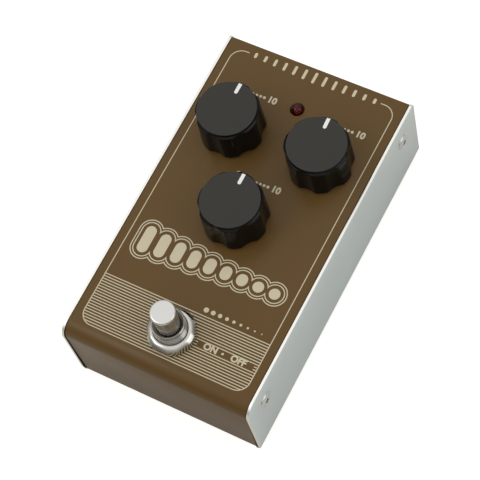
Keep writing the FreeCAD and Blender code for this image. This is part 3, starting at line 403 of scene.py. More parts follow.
# A profile of radius and level, spun round the axis
def lathe(profile, steps, closed=False):
    bm = bmesh.new()
    verts = [bm.verts.new((radius, 0, level)) for radius, level in profile]
    edges = [bm.edges.new(pair) for pair in zip(verts, verts[1:])]
    if closed:
        edges.append(bm.edges.new((verts[-1], verts[0])))
    bmesh.ops.spin(bm, geom=verts + edges, cent=(0, 0, 0), axis=(0, 0, 1), angle=math.tau, steps=steps,
                   use_merge=True, use_duplicate=False)
    bmesh.ops.remove_doubles(bm, verts=bm.verts, dist=weld)
    bmesh.ops.recalc_face_normals(bm, faces=bm.faces)
    return bm


# Rows of points round the axis, each drawn out of the one before; a row gives radius and level for an angle
def drawnUp(rows, around, closed=False):
    bm = bmesh.new()
    circle = set(bmesh.ops.create_circle(bm, cap_ends=False, segments=around, radius=1)["verts"])
    for n, row in enumerate(rows + rows[:1] * closed):
        if n:
            edges = [edge for edge in bm.edges if edge.verts[0] in circle and edge.verts[1] in circle]
            made = bmesh.ops.extrude_edge_only(bm, edges=edges)["geom"]
            circle = {item for item in made if isinstance(item, bmesh.types.BMVert)}
        for vert in circle:
            angle = math.atan2(vert.co.y, vert.co.x)
            radius, level = row(angle)
            vert.co = (radius * math.cos(angle), radius * math.sin(angle), level)
    if closed:
        bmesh.ops.remove_doubles(bm, verts=bm.verts, dist=weld)
    else:
        bmesh.ops.holes_fill(bm, edges=[edge for edge in bm.edges if edge.is_boundary], sides=around)
    bmesh.ops.recalc_face_normals(bm, faces=bm.faces)
    return bm


def block(size, place):
    bm = bmesh.new()
    bmesh.ops.create_cube(bm, size=1, matrix=place @ Matrix.Diagonal((*size, 1)))
    return bm


def post(radius, low, high, x=0, y=0, steps=48):
    bm = bmesh.new()
    bmesh.ops.create_cone(bm, cap_ends=True, segments=steps, radius1=radius, radius2=radius, depth=high - low,
                          matrix=at(x, y, (low + high) / 2))
    return bm


# Folded sheets: the base with its two cheeks, and the cover between them
enclosure = {
    # base
    "width": 74, "front": -66.1, "rear": 62.1, "low": 2.0, "baseSheet": 1.0, "baseBend": 2.2,
    "notch": (70, 1.7, 1.6), "notchBack": 0.75, "notchUp": 0.5,
    # cover
    "coverWidth": 71.5, "coverFront": -65.8, "coverRear": 61.8, "coverLow": 3.6, "sheet": 1.2,
    "frontBend": 5.5, "rearBend": 1.8, "frontLow": 2.2, "taper": 0.8,
    "tabAlong": (-57.6, 53.6), "tabSize": (14, 15), "tabEdge": 0.2,
    # both: broken edges, side screws, and how far the cutters of the holes reach
    "edge": 0.14, "middleLevel": 20, "screwAlong": (-55.6, 51.6), "screwLevel": 27.5, "screwHole": 1.65,
    "drill": 4,
}
# how near to its named place a corner or a fold lies, and the least angle of a fold
folding = {"cornerReach": 0.01, "foldReach": 3, "foldAngle": 1.2, "segments": 10}


# A strip of flat panels gets its outer corners rounded and is folded at its inner edges
def foldedStrip(path, shift, bends, corners=()):
    bm = strip(path, shift)
    for place, radius in corners:
        near = [vert for vert in bm.verts if (vert.co - Vector(place)).length < folding["cornerReach"]]
        bevelled(bm, near, radius, folding["segments"], affect="VERTICES")
    for place, radius in bends:
        folds = []
        for edge in bm.edges:
            away = (edge.verts[0].co + edge.verts[1].co) / 2 - Vector(place)
            if len(edge.link_faces) == 2 and edge.calc_face_angle(0) > folding["foldAngle"]:
                if away.length < folding["foldReach"]:
                    folds.append(edge)
        bevelled(bm, folds, radius, folding["segments"])
    return bm


# The sheet grows inwards from its outer side, and its cut edges are broken
def thickened(bm, centre, sheet):
    bm.faces.ensure_lookup_table()
    face = bm.faces[0]
    if (face.calc_center_median() - Vector(centre)).dot(face.normal) <= 0:
        bmesh.ops.reverse_faces(bm, faces=bm.faces)
    bmesh.ops.solidify(bm, geom=bm.faces[:], thickness=sheet)
    bmesh.ops.recalc_face_normals(bm, faces=bm.faces)
    soften(bm, enclosure["edge"], least=60)
    return bm


def makeBase():
    e = enclosure
    half = e["width"] / 2
    middle = (e["front"] + e["rear"]) / 2
    path = [(-half, e["front"], deck), (-half, e["front"], e["low"]), (half, e["front"], e["low"]),
            (half, e["front"], deck)]
    corners = []
    for x in (-half, half):
        corners += [((x, e["front"], deck), e["frontBend"]), ((x, e["rear"], deck), e["rearBend"])]
    bends = [((x, middle, e["low"]), e["baseBend"]) for x in (-half, half)]
    shell = foldedStrip(path, (0, e["rear"] - e["front"], 0), bends, corners)
    bm = thickened(shell, (0, middle, e["middleLevel"]), e["baseSheet"])
    # the front of the floor plate stands back, so the cover's flange closes over it
    bm = carve(bm, block(e["notch"], at(0, e["front"] + e["notchBack"], e["low"] + e["notchUp"])))
    holes = bmesh.new()
    for side in (-1, 1):
        for y in e["screwAlong"]:
            place = at(half * side, y, e["screwLevel"], 90, "Y")
            join(holes, post(e["screwHole"], -e["drill"], e["drill"]), place)
    placed("base_sheet", carve(bm, holes), "silver_sheet", instead=["base_tray"])


def makeCover():
    e = enclosure
    half = e["coverWidth"] / 2
    path = [(-half, e["coverFront"], e["coverLow"]), (-half, e["coverFront"], deck),
            (-half, e["coverRear"], deck), (-half, e["coverRear"], e["coverLow"])]
    bends = [((0, e["coverFront"], deck), e["frontBend"]), ((0, e["coverRear"], deck), e["rearBend"])]
    bm = thickened(foldedStrip(path, (2 * half, 0, 0), bends), (0, 0, e["middleLevel"]), e["sheet"])
    # the front flange narrows towards its lower edge and reaches further down than the rear one
    flangeTop = deck - e["frontBend"]
    for vert in bm.verts:
        if vert.co.y < 0 and vert.co.z < flangeTop:
            share = (flangeTop - vert.co.z) / (flangeTop - e["coverLow"])
            vert.co.x *= 1 - e["taper"] * share / half
            vert.co.z -= (e["coverLow"] - e["frontLow"]) * share
    holes = bmesh.new()
    for name, (x, y) in spots.items():
        join(holes, post(deckHoles[name], deck - e["drill"], deck + e["drill"], x, y))
    rearHoles = [(x, sockets["jackHole"]) for x in sockets["jacks"]]
    for x, radius in rearHoles + [(sockets["power"], sockets["powerHole"])]:
        join(holes, post(radius, -e["drill"], e["drill"]), at(x, e["coverRear"], sockets["level"], 90, "X"))
    bm = carve(bm, holes)
    for side in (-1, 1):
        for y in e["tabAlong"]:
            tab = block((e["sheet"], *e["tabSize"]), at((half - e["sheet"] / 2) * side, y, e["screwLevel"]))
            soften(tab, e["tabEdge"])
            join(bm, tab)
    placed("cover_sheet", bm, "brown_paint", instead=["top_cover"])


makeBase()
makeCover()
print("sheets folded")


# Side screws: low domed heads with a cross recess, each left at its own turn
screw = {
    "head": 3.0, "height": 0.8, "rim": 0.1, "crown": 0.6, "rows": 10, "around": 48, "seat": 0.02,
    "shank": 1.5, "length": 6, "recess": 2.3, "slot": 0.62, "deep": 0.6, "cutter": 2,
    "turn": 20, "turnAlong": 17,
}


def screwShape():
    s = screw
    profile = [(0, -s["length"]), (s["shank"], -s["length"]), (s["shank"], -s["seat"]),
               (s["head"], -s["seat"]), (s["head"], s["rim"])]
    for i in range(1, s["rows"]):
        angle = math.pi / 2 * i / s["rows"]
        level = s["rim"] + (s["height"] - s["rim"]) * math.sin(angle)
        profile.append((s["head"] * math.cos(angle) ** s["crown"], level))
    bm = lathe(profile + [(0, s["height"])], s["around"])
    for turn in (0, 90):
        place = at(0, 0, s["height"] - s["deep"] + s["cutter"] / 2, turn)
        bm = carve(bm, block((s["recess"], s["slot"], s["cutter"]), place))
    return bm


def makeScrews():
    whole = bmesh.new()
    for side in (-1, 1):
        for y in enclosure["screwAlong"]:
            place = at(enclosure["width"] / 2 * side, y, enclosure["screwLevel"], 90 * side, "Y")
            join(whole, screwShape(), place @ at(0, 0, 0, screw["turn"] + screw["turnAlong"] * y))
    placed("cover_screw_heads", whole, "bright_steel", instead=["cover_screws"], sharp=40, look="screw_zinc")


# Knobs: a round flat top, and seven broad lobes that start at a soft shoulder just below it
knob = {
    # outline: skirt and valleys at the foot, shoulder and valleyTop at the top, where the disc stands
    "lobes": 7, "height": 14.5, "bottom": 39.0, "skirt": 12.1, "shoulder": 11.62, "valley": 11.05,
    "valleyTop": 10.98, "flute": 6.9, "blend": 0.4, "disc": 10.75, "rim": 0.3, "step": 0.7, "draft": 0.04,
    "ledge": 0.03, "round": 1.3, "foot": 0.3, "around": 168,
    "rimRows": 5, "stepRows": (0.6, 0.97), "shoulderRows": 12, "skirtRows": 6,
    # hollows underneath and the hole of the grub screw
    "recess": 7.4, "recessDepth": 5.8, "insert": 4.6, "insertTop": 12.5, "overlap": 0.1,
    "grub": 1.52, "grubLevel": 8.6, "grubReach": 14, "grubAround": 24,
    "topSheenFrom": 53.35, "topSheenTo": 60, "topSheen": (0.0348, 0.0338, 0.0298),    # the top is painted greyer than the sides, a painted sheen standing in for the overhead light it reflects
}
pointer = {"start": 6.45, "width": 1.3, "tip": 0.98, "tipRows": 6, "end": 0.9, "thick": 0.3, "lift": 0.035}
knobTurns = {"left": 0, "right": 2.5, "centre": 0}


# Lobes with round valleys between, joined softly; the share runs from 0 at the foot to 1 at the top
def lobeRadius(angle, share):
    k = knob
    wide = k["skirt"] + (k["shoulder"] - k["skirt"]) * share
    valley = k["valley"] + (k["valleyTop"] - k["valley"]) * share
    reach = k["valley"] + k["flute"]
    flute = reach - valley
    step = math.tau / k["lobes"]
    off = (angle - math.pi / 2) % step - step / 2
    across = reach * math.sin(off)
    if abs(across) >= flute:
        return wide
    dip = reach * math.cos(off) - math.sqrt(flute ** 2 - across ** 2)
    mix = max(k["blend"] - abs(wide - dip), 0) / k["blend"]
    return min(wide, dip) - mix * mix * k["blend"] / 4


# The round top: a small rim, a short upright step, then the shoulder that the lobes grow out from
def topRadius(down):
    k = knob
    if down < k["rim"]:
        return k["disc"] - k["rim"] + math.sqrt(k["rim"] ** 2 - (k["rim"] - down) ** 2)
    if down < k["step"]:
        return k["disc"] + k["draft"] * (down - k["rim"])
    sink = min((down - k["step"]) / k["round"], 1)
    return k["disc"] + k["ledge"] + (k["skirt"] - k["disc"]) * sink ** 2 * (3 - 2 * sink)


def knobRow(down):
    k = knob
    back = k["foot"] if down == k["height"] else 0    # the lowest row stands back, as a broken edge

    def row(angle):
        return min(lobeRadius(angle, 1 - down / k["height"]), topRadius(down)) - back, k["height"] - down

    return row


# Depths under the top at which the knob has a row: over the rim, down the step and the shoulder, to the foot
def knobDepths():
    k = knob
    depths = [k["rim"] - level for radius, level in reversed(quarter(0, 0, k["rim"], k["rimRows"]))]
    depths += [k["step"] * share for share in k["stepRows"]]
    depths += [k["step"] + k["round"] * i / k["shoulderRows"] for i in range(k["shoulderRows"] + 1)]
    low = depths[-1]
    skirt = k["height"] - low - k["foot"]
    depths += [low + skirt * (i + 1) / k["skirtRows"] for i in range(k["skirtRows"])]
    return depths + [k["height"]]


def makeKnob(name, turn):
    k = knob
    x, y = spots[name]
    bm = drawnUp([knobRow(down) for down in knobDepths()], k["around"])
    bm = carve(bm, post(k["recess"], -1, k["recessDepth"]))
    bm = carve(bm, post(k["insert"], k["recessDepth"] - k["overlap"], k["insertTop"]))
    grub = post(k["grub"], 0, k["grubReach"], steps=k["grubAround"])
    bmesh.ops.transform(grub, matrix=at(0, 0, k["grubLevel"], -90, "X"), verts=grub.verts)
    place = at(x, y, k["bottom"], turn)
    placed(name + "_knob_shell", carve(bm, grub), "knob_black", body=name + "_control",
           instead=[name + "_knob"], place=place, sharp=38)
    makePointer(name, place)


# The pointer line lies on the top and bends down over the rim
def makePointer(name, place):
    k = knob
    p = pointer
    half = p["width"] / 2
    path = [(p["start"], k["height"])]
    path += reversed(quarter(k["disc"] - k["rim"], k["height"] - k["rim"], k["rim"], k["rimRows"]))
    path.append((k["disc"] + k["ledge"], k["height"] - k["step"] * p["end"]))
    bm = strip([(-half, y, z) for y, z in path], (p["width"], 0, 0))
    ends = [vert for vert in bm.verts if abs(vert.co.y - p["start"]) < weld]
    bevelled(bm, ends, half * p["tip"], p["tipRows"], affect="VERTICES")
    bmesh.ops.recalc_face_normals(bm, faces=bm.faces)
    if sum(face.normal.z for face in bm.faces) < 0:
        bmesh.ops.reverse_faces(bm, faces=bm.faces)
    bmesh.ops.solidify(bm, geom=bm.faces[:], thickness=p["thick"])
    bmesh.ops.translate(bm, vec=(0, 0, p["lift"]), verts=bm.verts)
    placed(name + "_pointer_line", bm, "pointer_white", body=name + "_control",
           instead=[name + "_knob_pointer"], place=place)


makeScrews()
for name, turn in knobTurns.items():
    makeKnob(name, turn)
# painted sheen: the knob tops coloured greyer than their sides
finishLevels(finishes["knob_black"], knob["topSheenFrom"], knob["topSheenTo"], knob["topSheen"])
print("knobs and screws made")


# Nuts: a hexagon whose corners are cut to a circle, with a rounded crown above
nut = {"around": 72, "play": 0.02, "lead": 0.35, "inset": 0.12, "edge": 0.1, "curve": 1.5,
       "crownRows": (1, 0.72, 0.45, 0.2, 0)}


def nutShape(flats, height, thread, slope=0.5, corner=None, crown=None):
    bore = thread + nut["play"]
    wide = bore + nut["lead"]
    flat = crown or flats / 2 - nut["inset"]

    def side(angle):
        off = angle % (math.pi / 3) - math.pi / 6
        return min(flats / 2 / math.cos(off), corner or flats)

    def crowned(share):
        def row(angle):
            out = side(angle) - flat
            return flat + out * share, height - out * slope * share ** nut["curve"]

        return row

    rows = [lambda angle: (bore, nut["lead"]), lambda angle: (wide, 0)]
    rows += [lambda angle: (side(angle) - nut["edge"], 0), lambda angle: (side(angle), nut["edge"])]
    rows += [crowned(share) for share in nut["crownRows"]]
    rows += [lambda angle: (wide, height), lambda angle: (bore, height - nut["lead"])]
    return drawnUp(rows, nut["around"], closed=True)


threadForm = ((0.08, 0), (0.2, 0), (0.5, 1), (0.6, 1), (0.9, 0))    # shares of the pitch and of the depth


def threaded(radius, low, high, pitch, depth):
    turns = range(int((high - low) / pitch))
    return [(radius - depth * deep, low + pitch * (i + along)) for i in turns for along, deep in threadForm]


# Footswitch: threaded bushing, crowned nut and plain button
footswitch = {
    # bushing, its thread and its mouth
    "bushing": 6.0, "bore": 4.4, "low": 34.4, "top": 47.7, "around": 72,
    "pitch": 0.8, "thread": 0.25, "threadFrom": 34.6, "threadTo": 47.2,
    "chamfer": 0.35, "lip": 5.75, "lipRound": 0.06, "rim": 0.2, "mouth": 4.47, "dish": 1.15, "dishRound": 0.1,
    "dishFoot": 4.55, "throat": 1.8, "throatFoot": 2.0,
    # nut
    "flats": 16.5, "corner": 8.62, "crown": 6.9, "slope": 0.8, "nutLow": 38.7, "nutHigh": 42.9,
    # button
    "collar": 5.0, "collarLow": 32.8, "collarTop": 34.3, "guide": 4.34, "guideTop": 45.4, "stem": 4.25,
    "stemLow": 45.7, "neck": 0.1, "head": 4.55, "headLow": 56.0, "headBreak": 0.15, "headTop": 57.5,
    "headEdge": 0.75, "headRows": 6, "headFlat": 2.2,
    "threadShade": (0.40, 0.385, 0.355), "threadShadeTo": 47.3,    # the bushing below its lip is painted darker than the mouth, as shade between nut and lip
    "stemShade": (0.46, 0.45, 0.42), "stemShadeFrom": 45,    # the stem is painted darker than the head, as shade
}


# A threaded sleeve whose mouth is dished, with a thin rim round it
def bushingShape():
    f = footswitch
    top = f["top"]
    profile = [(f["bore"], f["low"]), (f["bushing"], f["low"])]
    profile += threaded(f["bushing"], f["threadFrom"], f["threadTo"], f["pitch"], f["thread"])
    profile += [(f["bushing"], top - f["chamfer"]), (f["lip"], top - f["lipRound"]),
                (f["lip"] - f["lipRound"], top), (f["lip"] - f["rim"], top), (f["dishFoot"], top - f["dish"]),
                (f["mouth"], top - f["dish"] - f["dishRound"]), (f["mouth"], top - f["throat"]),
                (f["bore"], top - f["throatFoot"])]
    return lathe(profile, f["around"], closed=True)


# The button from its collar inside the bushing up to the flat head
def buttonShape():
    f = footswitch
    edge = f["headEdge"]
    profile = [(0, f["collarLow"]), (f["collar"], f["collarLow"]), (f["collar"], f["collarTop"]),
               (f["guide"], f["collarTop"]), (f["guide"], f["guideTop"]), (f["stem"], f["stemLow"]),
               (f["stem"], f["headLow"] - f["neck"]), (f["stem"] + f["neck"], f["headLow"]),
               (f["head"] - f["headBreak"], f["headLow"]), (f["head"], f["headLow"] + f["headBreak"])]
    profile += quarter(f["head"] - edge, f["headTop"] - edge, edge, f["headRows"])
    return lathe(profile + [(f["headFlat"], f["headTop"]), (0, f["headTop"])], f["around"])


def makeFootswitch():
    f = footswitch
    x, y = spots["footswitch"]
    placed("switch_bushing", bushingShape(), "satin_steel", instead=["footswitch_bushing"], place=at(x, y, 0),
           sharp=30, look="thread_dull")
    tall = f["nutHigh"] - f["nutLow"]
    hexagon = nutShape(f["flats"], tall, f["bushing"], f["slope"], f["corner"], f["crown"])
    placed("switch_nut", hexagon, "bright_steel", instead=["footswitch_nut"], place=at(x, y, f["nutLow"]),
           sharp=25)
    placed("switch_button", buttonShape(), "satin_steel", body="footswitch_plunger",
           instead=["footswitch_button"], place=at(x, y, 0), sharp=30)
    # painted shade: the bushing below its lip coloured darker
    finishLevels(finishes["thread_dull"], 0, f["threadShadeTo"], f["threadShade"])
    # painted shade: the button's stem below the head coloured darker
    finishLevels(finishes["satin_steel"], f["stemShadeFrom"], f["headLow"] - f["neck"], f["stemShade"])


# Return spring under the button, wound between the levels of the spring it replaces
spring = {"radius": 3.4, "wire": 0.3, "wireAround": 8, "turns": 5, "stepsATurn": 24, "pressed": 6.1}


def makeSpring():
    s = spring
    x, y = spots["footswitch"]
    low, high = (corner.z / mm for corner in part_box("footswitch_spring"))
    steps = s["turns"] * s["stepsATurn"]
    climb = (high - low - 2 * s["wire"]) / steps
    bm = bmesh.new()
    circle = bmesh.ops.create_circle(bm, cap_ends=False, segments=s["wireAround"], radius=s["wire"],
                                     matrix=at(s["radius"], 0, low + s["wire"], 90, "X"))["verts"]
    bmesh.ops.spin(bm, geom=circle + bm.edges[:], cent=(0, 0, 0), axis=(0, 0, 1), dvec=(0, 0, climb),
                   angle=math.tau * s["turns"], steps=steps, use_merge=False, use_duplicate=False)
    bmesh.ops.holes_fill(bm, edges=[edge for edge in bm.edges if edge.is_boundary], sides=s["wireAround"])
    piece = placed("switch_spring", bm, "satin_steel", instead=["footswitch_spring"], place=at(x, y, 0))
    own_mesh(piece)


makeFootswitch()
makeSpring()


# Indicator lamp: clear red dome with the lead frame inside, a cup on one post and a second post beside it
lamp = {
    "radius": 2.45, "centre": 37.9, "low": 32.6, "flange": 2.9, "flangeTop": 33.6, "domeRows": 12,
    "around": 48, "cup": 0.95, "cupFoot": 0.76, "cupMouth": 0.8075, "cupFloor": 0.475, "cupLow": 36.2,
    "cupTop": 37.3, "cupDeep": 0.5, "cupAround": 32,
    "post": 0.3, "postLow": 33.0, "sidePost": 1.4, "sidePostTop": 37.1, "postAround": 16, "turn": 130,
}


def makeLamp():
    a = lamp
    x, y = spots["lamp"]
    profile = [(0, a["low"]), (a["flange"], a["low"]), (a["flange"], a["flangeTop"]),
               (a["radius"], a["flangeTop"])] + quarter(0, a["centre"], a["radius"], a["domeRows"])
    placed("lamp_dome", lathe(profile, a["around"]), "lamp_red", instead=["indicator_lamp"],
           place=at(x, y, 0))
    floor = a["cupTop"] - a["cupDeep"]
    cup = lathe([(0, a["cupLow"]), (a["cupFoot"], a["cupLow"]), (a["cup"], a["cupTop"]),
                 (a["cupMouth"], a["cupTop"]), (a["cupFloor"], floor), (0, floor)], a["cupAround"])
    for across, top in ((0, a["cupLow"]), (a["sidePost"], a["sidePostTop"])):
        join(cup, post(a["post"], a["postLow"], top, x=across, steps=a["postAround"]))
    placed("lamp_cup", cup, "satin_steel", place=at(x, y, 0, a["turn"]), look="lamp_cup")


makeLamp()


# Rubber feet with a shallow dish underneath
foot = {
    "radius": 6, "height": 2, "draft": 0.3, "edge": 0.25, "dishDeep": 0.5, "dishFloor": 2.2, "dishRim": 2.8,
    "around": 48, "across": (-27, 27), "along": (-56.1, 52.1),
}


def makeFeet():
    profile = [(0, foot["dishDeep"]), (foot["dishFloor"], foot["dishDeep"]), (foot["dishRim"], 0),
               (foot["radius"] - foot["draft"], 0), (foot["radius"], foot["height"]), (0, foot["height"])]
    whole = bmesh.new()
    for x in foot["across"]:
        for y in foot["along"]:
            pad = lathe(profile, foot["around"])
            soften(pad, foot["edge"], segments=3, least=30)
            join(whole, pad, at(x, y, 0))
    placed("foot_pads", whole, "foot_rubber", instead=["rubber_feet"])


makeFeet()


# Rear jacks and power socket, drawn upright and turned to the rear
jack = {
    "inner": 55.6, "long": 10.5, "bore": 3.28, "bushing": 4.75, "pitch": 0.75, "thread": 0.28,
    "threadFrom": 6.2, "threadTo": 9.9, "chamfer": 0.5, "mouth": 0.35, "washer": 7.2, "washerBore": 4.9,
    "washerHeight": 0.6, "washerEdge": 0.12, "flats": 12.7, "nutHeight": 2.4, "around": 56,
}
powerNut = {"flats": 11, "height": 2.0, "nose": 4.0}


def rearward(x, y):
    return at(x, y, sockets["level"], -90, "X")


def sleeveShape():
    j = jack
    profile = [(j["bore"], 0), (j["bushing"], 0)]
    profile += threaded(j["bushing"], j["threadFrom"], j["threadTo"], j["pitch"], j["thread"])
    profile += [(j["bushing"], j["long"] - j["chamfer"]), (j["bushing"] - j["chamfer"], j["long"]),
                (j["bore"] + j["mouth"], j["long"]), (j["bore"], j["long"] - j["mouth"])]
    return lathe(profile, j["around"], closed=True)


def washerShape():
    j = jack
    bm = lathe([(j["washerBore"], 0), (j["washer"], 0), (j["washer"], j["washerHeight"]),
                (j["washerBore"], j["washerHeight"])], j["around"], closed=True)
    soften(bm, j["washerEdge"])
    return bm


def makeRear():
    j = jack
    face = enclosure["coverRear"]
    sleeves = bmesh.new()
    washers = bmesh.new()
    nuts = bmesh.new()
    for x in sockets["jacks"]:
        join(sleeves, sleeveShape(), rearward(x, j["inner"]))
        join(washers, washerShape(), rearward(x, face))
        join(nuts, nutShape(j["flats"], j["nutHeight"], j["bushing"]), rearward(x, face + j["washerHeight"]))
    placed("jack_sleeves", sleeves, "black_plastic", instead=["jack_bushings"])
    placed("jack_rings", washers, "bright_steel", instead=["jack_washers"])
    placed("jack_hexagons", nuts, "bright_steel", instead=["jack_nuts"], sharp=25)
    power = nutShape(powerNut["flats"], powerNut["height"], powerNut["nose"])
    placed("power_hexagon", power, "black_plastic", instead=["power_socket_nut"],
           place=rearward(sockets["power"], face), sharp=25)


makeRear()
print("switch, lamp, feet and rear made")


# Cream print on the cover: frame, stripes, fading bars and plain legends
ink = {
    "sunk": 0.005, "thick": 0.03, "stripeThick": 0.024, "line": 0.34, "arc": 12, "dotSides": 20,
    "side": 32.8, "front": -59.9, "rear": 57.7, "corner": 4.75, "gap": (-26.7, 26.4),
    "stripes": 20, "pitch": 1.018, "firstStripe": -59.75, "stripe": 0.34,
    "block": (9.5, 31.2, -51.6, -48.6),    # left bare for the switch's legend: left, right, front and rear
}
inkLow = deck - ink["sunk"]
inkTop = deck + ink["thick"]


def rounded(x1, y1, x2, y2, radius):
    points = []
    for cx, cy, start in ((x2 - radius, y2 - radius, 0), (x1 + radius, y2 - radius, 90),
                          (x1 + radius, y1 + radius, 180), (x2 - radius, y1 + radius, 270)):
        for n in range(ink["arc"] + 1):
            angle = math.radians(start + 90 * n / ink["arc"])
            points.append((cx + radius * math.cos(angle), cy + radius * math.sin(angle)))
    return points


# Every inked shape is an outline on the deck, drawn up into a thin prism
def prism(bm, outline, low=inkLow, high=inkTop):
    base = bm.faces.new([bm.verts.new((x, y, low)) for x, y in outline])
    made = bmesh.ops.extrude_face_region(bm, geom=[base], use_keep_orig=True)["geom"]
    raised = [item for item in made if isinstance(item, bmesh.types.BMVert)]
    bmesh.ops.translate(bm, vec=(0, 0, high - low), verts=raised)


def inked(name, bm):
    return placed(name, bm, "cream_ink")


# The frame line runs from one side of the gap at the rear round to the other, and back along its inner side
def makeFrameLine():
    left, right = ink["gap"]
    paths = []
    for inset in (0, ink["line"]):
        side = ink["side"] - inset
        back = ink["rear"] - inset
        points = rounded(-side, ink["front"] + inset, side, back, ink["corner"] - inset)
        turn = len(points) // 4    # the first quarter is the rear right corner, which the path comes to last
        paths.append([(left, back)] + points[turn:] + points[:turn] + [(right, back)])
    bm = bmesh.new()
    prism(bm, paths[0] + paths[1][::-1])
    inked("print_frame", bm)


# Stripes end at the frame line, follow its round front corners and leave the legend's block bare
def makeStripes():
    bm = bmesh.new()
    left, right, low, high = ink["block"]
    corner = ink["corner"]
    half = ink["stripe"] / 2
    for n in range(1, ink["stripes"]):
        y = ink["firstStripe"] + ink["pitch"] * n
        side = ink["side"] - ink["line"] / 2
        drop = ink["front"] + corner - y
        if drop > 0:
            side += math.sqrt(corner ** 2 - drop ** 2) - corner
        spans = [(-side, left), (right, side)] if low < y < high else [(-side, side)]
        for x1, x2 in spans:
            prism(bm, [(x1, y - half), (x2, y - half), (x2, y + half), (x1, y + half)],
                  high=deck + ink["stripeThick"])
    inked("print_lines", bm)


# Fading bars: each lower than the last, with two contours that run round the whole row
bars = {"count": 9, "left": -25.4, "pitch": 6.35, "y": -23.2, "tall": 10.6, "fade": 0.87, "width": 4.1,
        "contours": (1.2, 2.15), "line": 0.38, "cut": 1}
fullyRound = 0.999    # share of the half width, so that a capsule's corners stay apart


def capsule(x, y, width, height, grow=0):
    half = width / 2 + grow
    reach = max(height / 2 + grow, half)
    return rounded(x - half, y - reach, x + half, y + reach, half * fullyRound)


def barOutline(n, grow=0):
    tall = bars["tall"] * bars["fade"] ** n
    return capsule(bars["left"] + bars["pitch"] * n, bars["y"], bars["width"], tall, grow)


# The outline round all bars at a given distance, as one prism
def barsGrown(away, low, high):
    whole = bmesh.new()
    for n in range(bars["count"]):
        one = bmesh.new()
        prism(one, barOutline(n, away), low, high)
        bmesh.ops.recalc_face_normals(one, faces=one.faces)
        whole = carve(whole, one, "UNION") if n else one
    return whole


def makeFadingBars():
    bm = bmesh.new()
    for n in range(bars["count"]):
        prism(bm, barOutline(n))
    for away in bars["contours"]:
        outer = barsGrown(away + bars["line"], inkLow, inkTop)
        join(bm, carve(outer, barsGrown(away, deck - bars["cut"], deck + bars["cut"])))
    inked("print_fading_bars", bm)


# Legends: numbers and growing dots over each knob, ON and OFF, a row of shrinking dots and the rear marks
legends = {
    "size": 3.5, "weight": 0.045, "smooth": 8, "levels": {"left": 43.2, "right": 43.2, "centre": 12.0},
    "numbers": (("0", -7.7), ("10", 7.7)), "switchSize": 3.3, "switchLevel": -50.0,
    "switch": (("ON", 14.6), ("OFF", 25.4)),
}
growingDots = {"start": -4.5, "step": 1.5, "sizes": [0.22 + 0.06 * n for n in range(7)]}
shrinkingDots = {"start": (6.6, -38.1), "step": 2.7, "sizes": [0.95 - 0.09 * n for n in range(9)]}
middleDot = {"spot": (19.3, -50.0), "size": 0.45}
rearMarks = {"count": 13, "left": -24, "step": 4, "y": 57.5, "width": 1.1, "least": 1.2, "tall": 1.7,
             "fall": 0.2}


def textMesh(words, size, x, y):
    curve = bpy.data.curves.new("legend", "FONT")
    curve.body = words
    curve.size = size
    curve.align_x = "CENTER"
    curve.align_y = "CENTER"
    curve.resolution_u = legends["smooth"]
    curve.offset = legends["weight"] * size
    curve.extrude = ink["thick"]
    thing = bpy.data.objects.new("legend", curve)
    bpy.context.scene.collection.objects.link(thing)
    bm = shapeOf(thing)
    bmesh.ops.remove_doubles(bm, verts=bm.verts, dist=weld)
    bmesh.ops.translate(bm, vec=(x, y, deck), verts=bm.verts)
    bpy.data.objects.remove(thing)
    return bm


def dots(bm, x, y, step, sizes):
    angles = [math.tau * n / ink["dotSides"] for n in range(ink["dotSides"])]
    for n, size in enumerate(sizes):
        prism(bm, [(x + step * n + size * math.cos(angle), y + size * math.sin(angle)) for angle in angles])


def makeLegends():
    bm = bmesh.new()
    for name, y in legends["levels"].items():
        x = spots[name][0]
        for words, across in legends["numbers"]:
            join(bm, textMesh(words, legends["size"], x + across, y))
        dots(bm, x + growingDots["start"], y, growingDots["step"], growingDots["sizes"])
    for words, x in legends["switch"]:
        join(bm, textMesh(words, legends["switchSize"], x, legends["switchLevel"]))
    dots(bm, *middleDot["spot"], 0, [middleDot["size"]])
    dots(bm, *shrinkingDots["start"], shrinkingDots["step"], shrinkingDots["sizes"])
    m = rearMarks
    for n in range(m["count"]):
        reach = m["tall"] - abs(n - m["count"] // 2) * m["fall"]
        prism(bm, capsule(m["left"] + m["step"] * n, m["y"], m["width"], m["least"] + reach * 2))
    inked("print_legends", bm)


makeFrameLine()
makeStripes()
makeFadingBars()
makeLegends()
print("print made")


# Stage and light: the camera and clear things see a white floor and world, metal a dimmer floor
stage = {
    "floor": 3.0, "floorColour": (0.56, 0.525, 0.46), "floorRoughness": 0.8, "floorSpecular": 0.1,
    "glow": 0.7, "floorInMetal": 0.09, "white": (1, 1, 1, 1),
    # dome: its strength overhead and at the horizon on either side, and the spans between which it changes
    "overhead": 1.04, "horizonFrom": 0.05, "overheadFrom": 0.8,
    "backdropWay": (-0.717, 0.697, 0), "roomSide": 0.08, "backdropSide": 0.5, "sideSpan": (-0.4, 0.8),
}


def seenDirectly(tree, rays):
    return maths(tree, "MAXIMUM", rays["Is Camera Ray"], rays["Is Transmission Ray"])


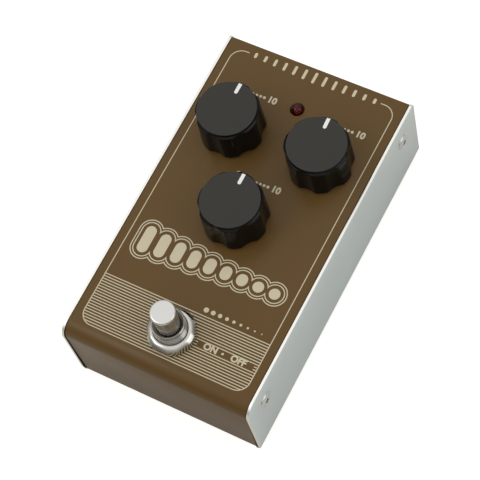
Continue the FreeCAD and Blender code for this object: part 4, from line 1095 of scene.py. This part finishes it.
def makeStage():
    bm = bmesh.new()
    bmesh.ops.create_grid(bm, x_segments=1, y_segments=1, size=stage["floor"])
    floor = linked("floor", bm)
    material = bpy.data.materials.new("paleFloor")
    material.use_nodes = True
    tree = material.node_tree
    shader = tree.nodes["Principled BSDF"]
    shader.inputs["Base Color"].default_value = (*stage["floorColour"], 1)
    shader.inputs["Roughness"].default_value = stage["floorRoughness"]
    shader.inputs["Specular IOR Level"].default_value = stage["floorSpecular"]
    rays = addNode(tree, "LightPath").outputs
    mirrored = maths(tree, "MULTIPLY", rays["Is Glossy Ray"], stage["floorInMetal"])
    glow = maths(tree, "MULTIPLY_ADD", seenDirectly(tree, rays), stage["glow"], mirrored)
    shader.inputs["Emission Color"].default_value = stage["white"]
    tree.links.new(glow, shader.inputs["Emission Strength"])
    floor.data.materials.append(material)


lamps = [
    # name, place, aim, size, power, colour
    ("keySoftbox", (-0.7, -0.5, 1.1), (0, 0, 0.03), 0.7, 3.0, (1, 0.99, 0.97)),
    ("sideSoftbox", (1.2, 0.2, 0.7), (0, 0, 0.03), 0.8, 2.5, (0.97, 0.99, 1)),
]


def makeLamps():
    for name, place, aim, size, power, colour in lamps:
        data = bpy.data.lights.new(name, "AREA")
        data.shape = "SQUARE"
        data.size = size
        data.energy = power
        data.color = colour
        light = bpy.data.objects.new(name, data)
        light.location = place
        light.rotation_euler = (Vector(place) - Vector(aim)).to_track_quat("Z", "Y").to_euler()
        bpy.context.scene.collection.objects.link(light)


# The dome is bright overhead and falls off towards the horizon, more so on the side away from the backdrop
def makeWorld():
    world = bpy.data.worlds.new("studio")
    world.use_nodes = True
    tree = world.node_tree
    background = tree.nodes["Background"]
    rays = addNode(tree, "LightPath").outputs
    look = addNode(tree, "TexCoord").outputs["Generated"]
    away = addNode(tree, "VectorMath", {0: look, 1: stage["backdropWay"]}, operation="DOT_PRODUCT")
    horizon = remap(tree, away.outputs["Value"], *stage["sideSpan"], stage["roomSide"], stage["backdropSide"])
    height = addNode(tree, "SeparateXYZ", {0: look}).outputs["Z"]
    dome = remap(tree, height, stage["horizonFrom"], stage["overheadFrom"], horizon, stage["overhead"])
    tree.links.new(maths(tree, "MAXIMUM", dome, seenDirectly(tree, rays)), background.inputs["Strength"])
    background.inputs["Color"].default_value = stage["white"]
    bpy.context.scene.world = world


makeStage()
makeLamps()
makeWorld()
print("stage and lights made")
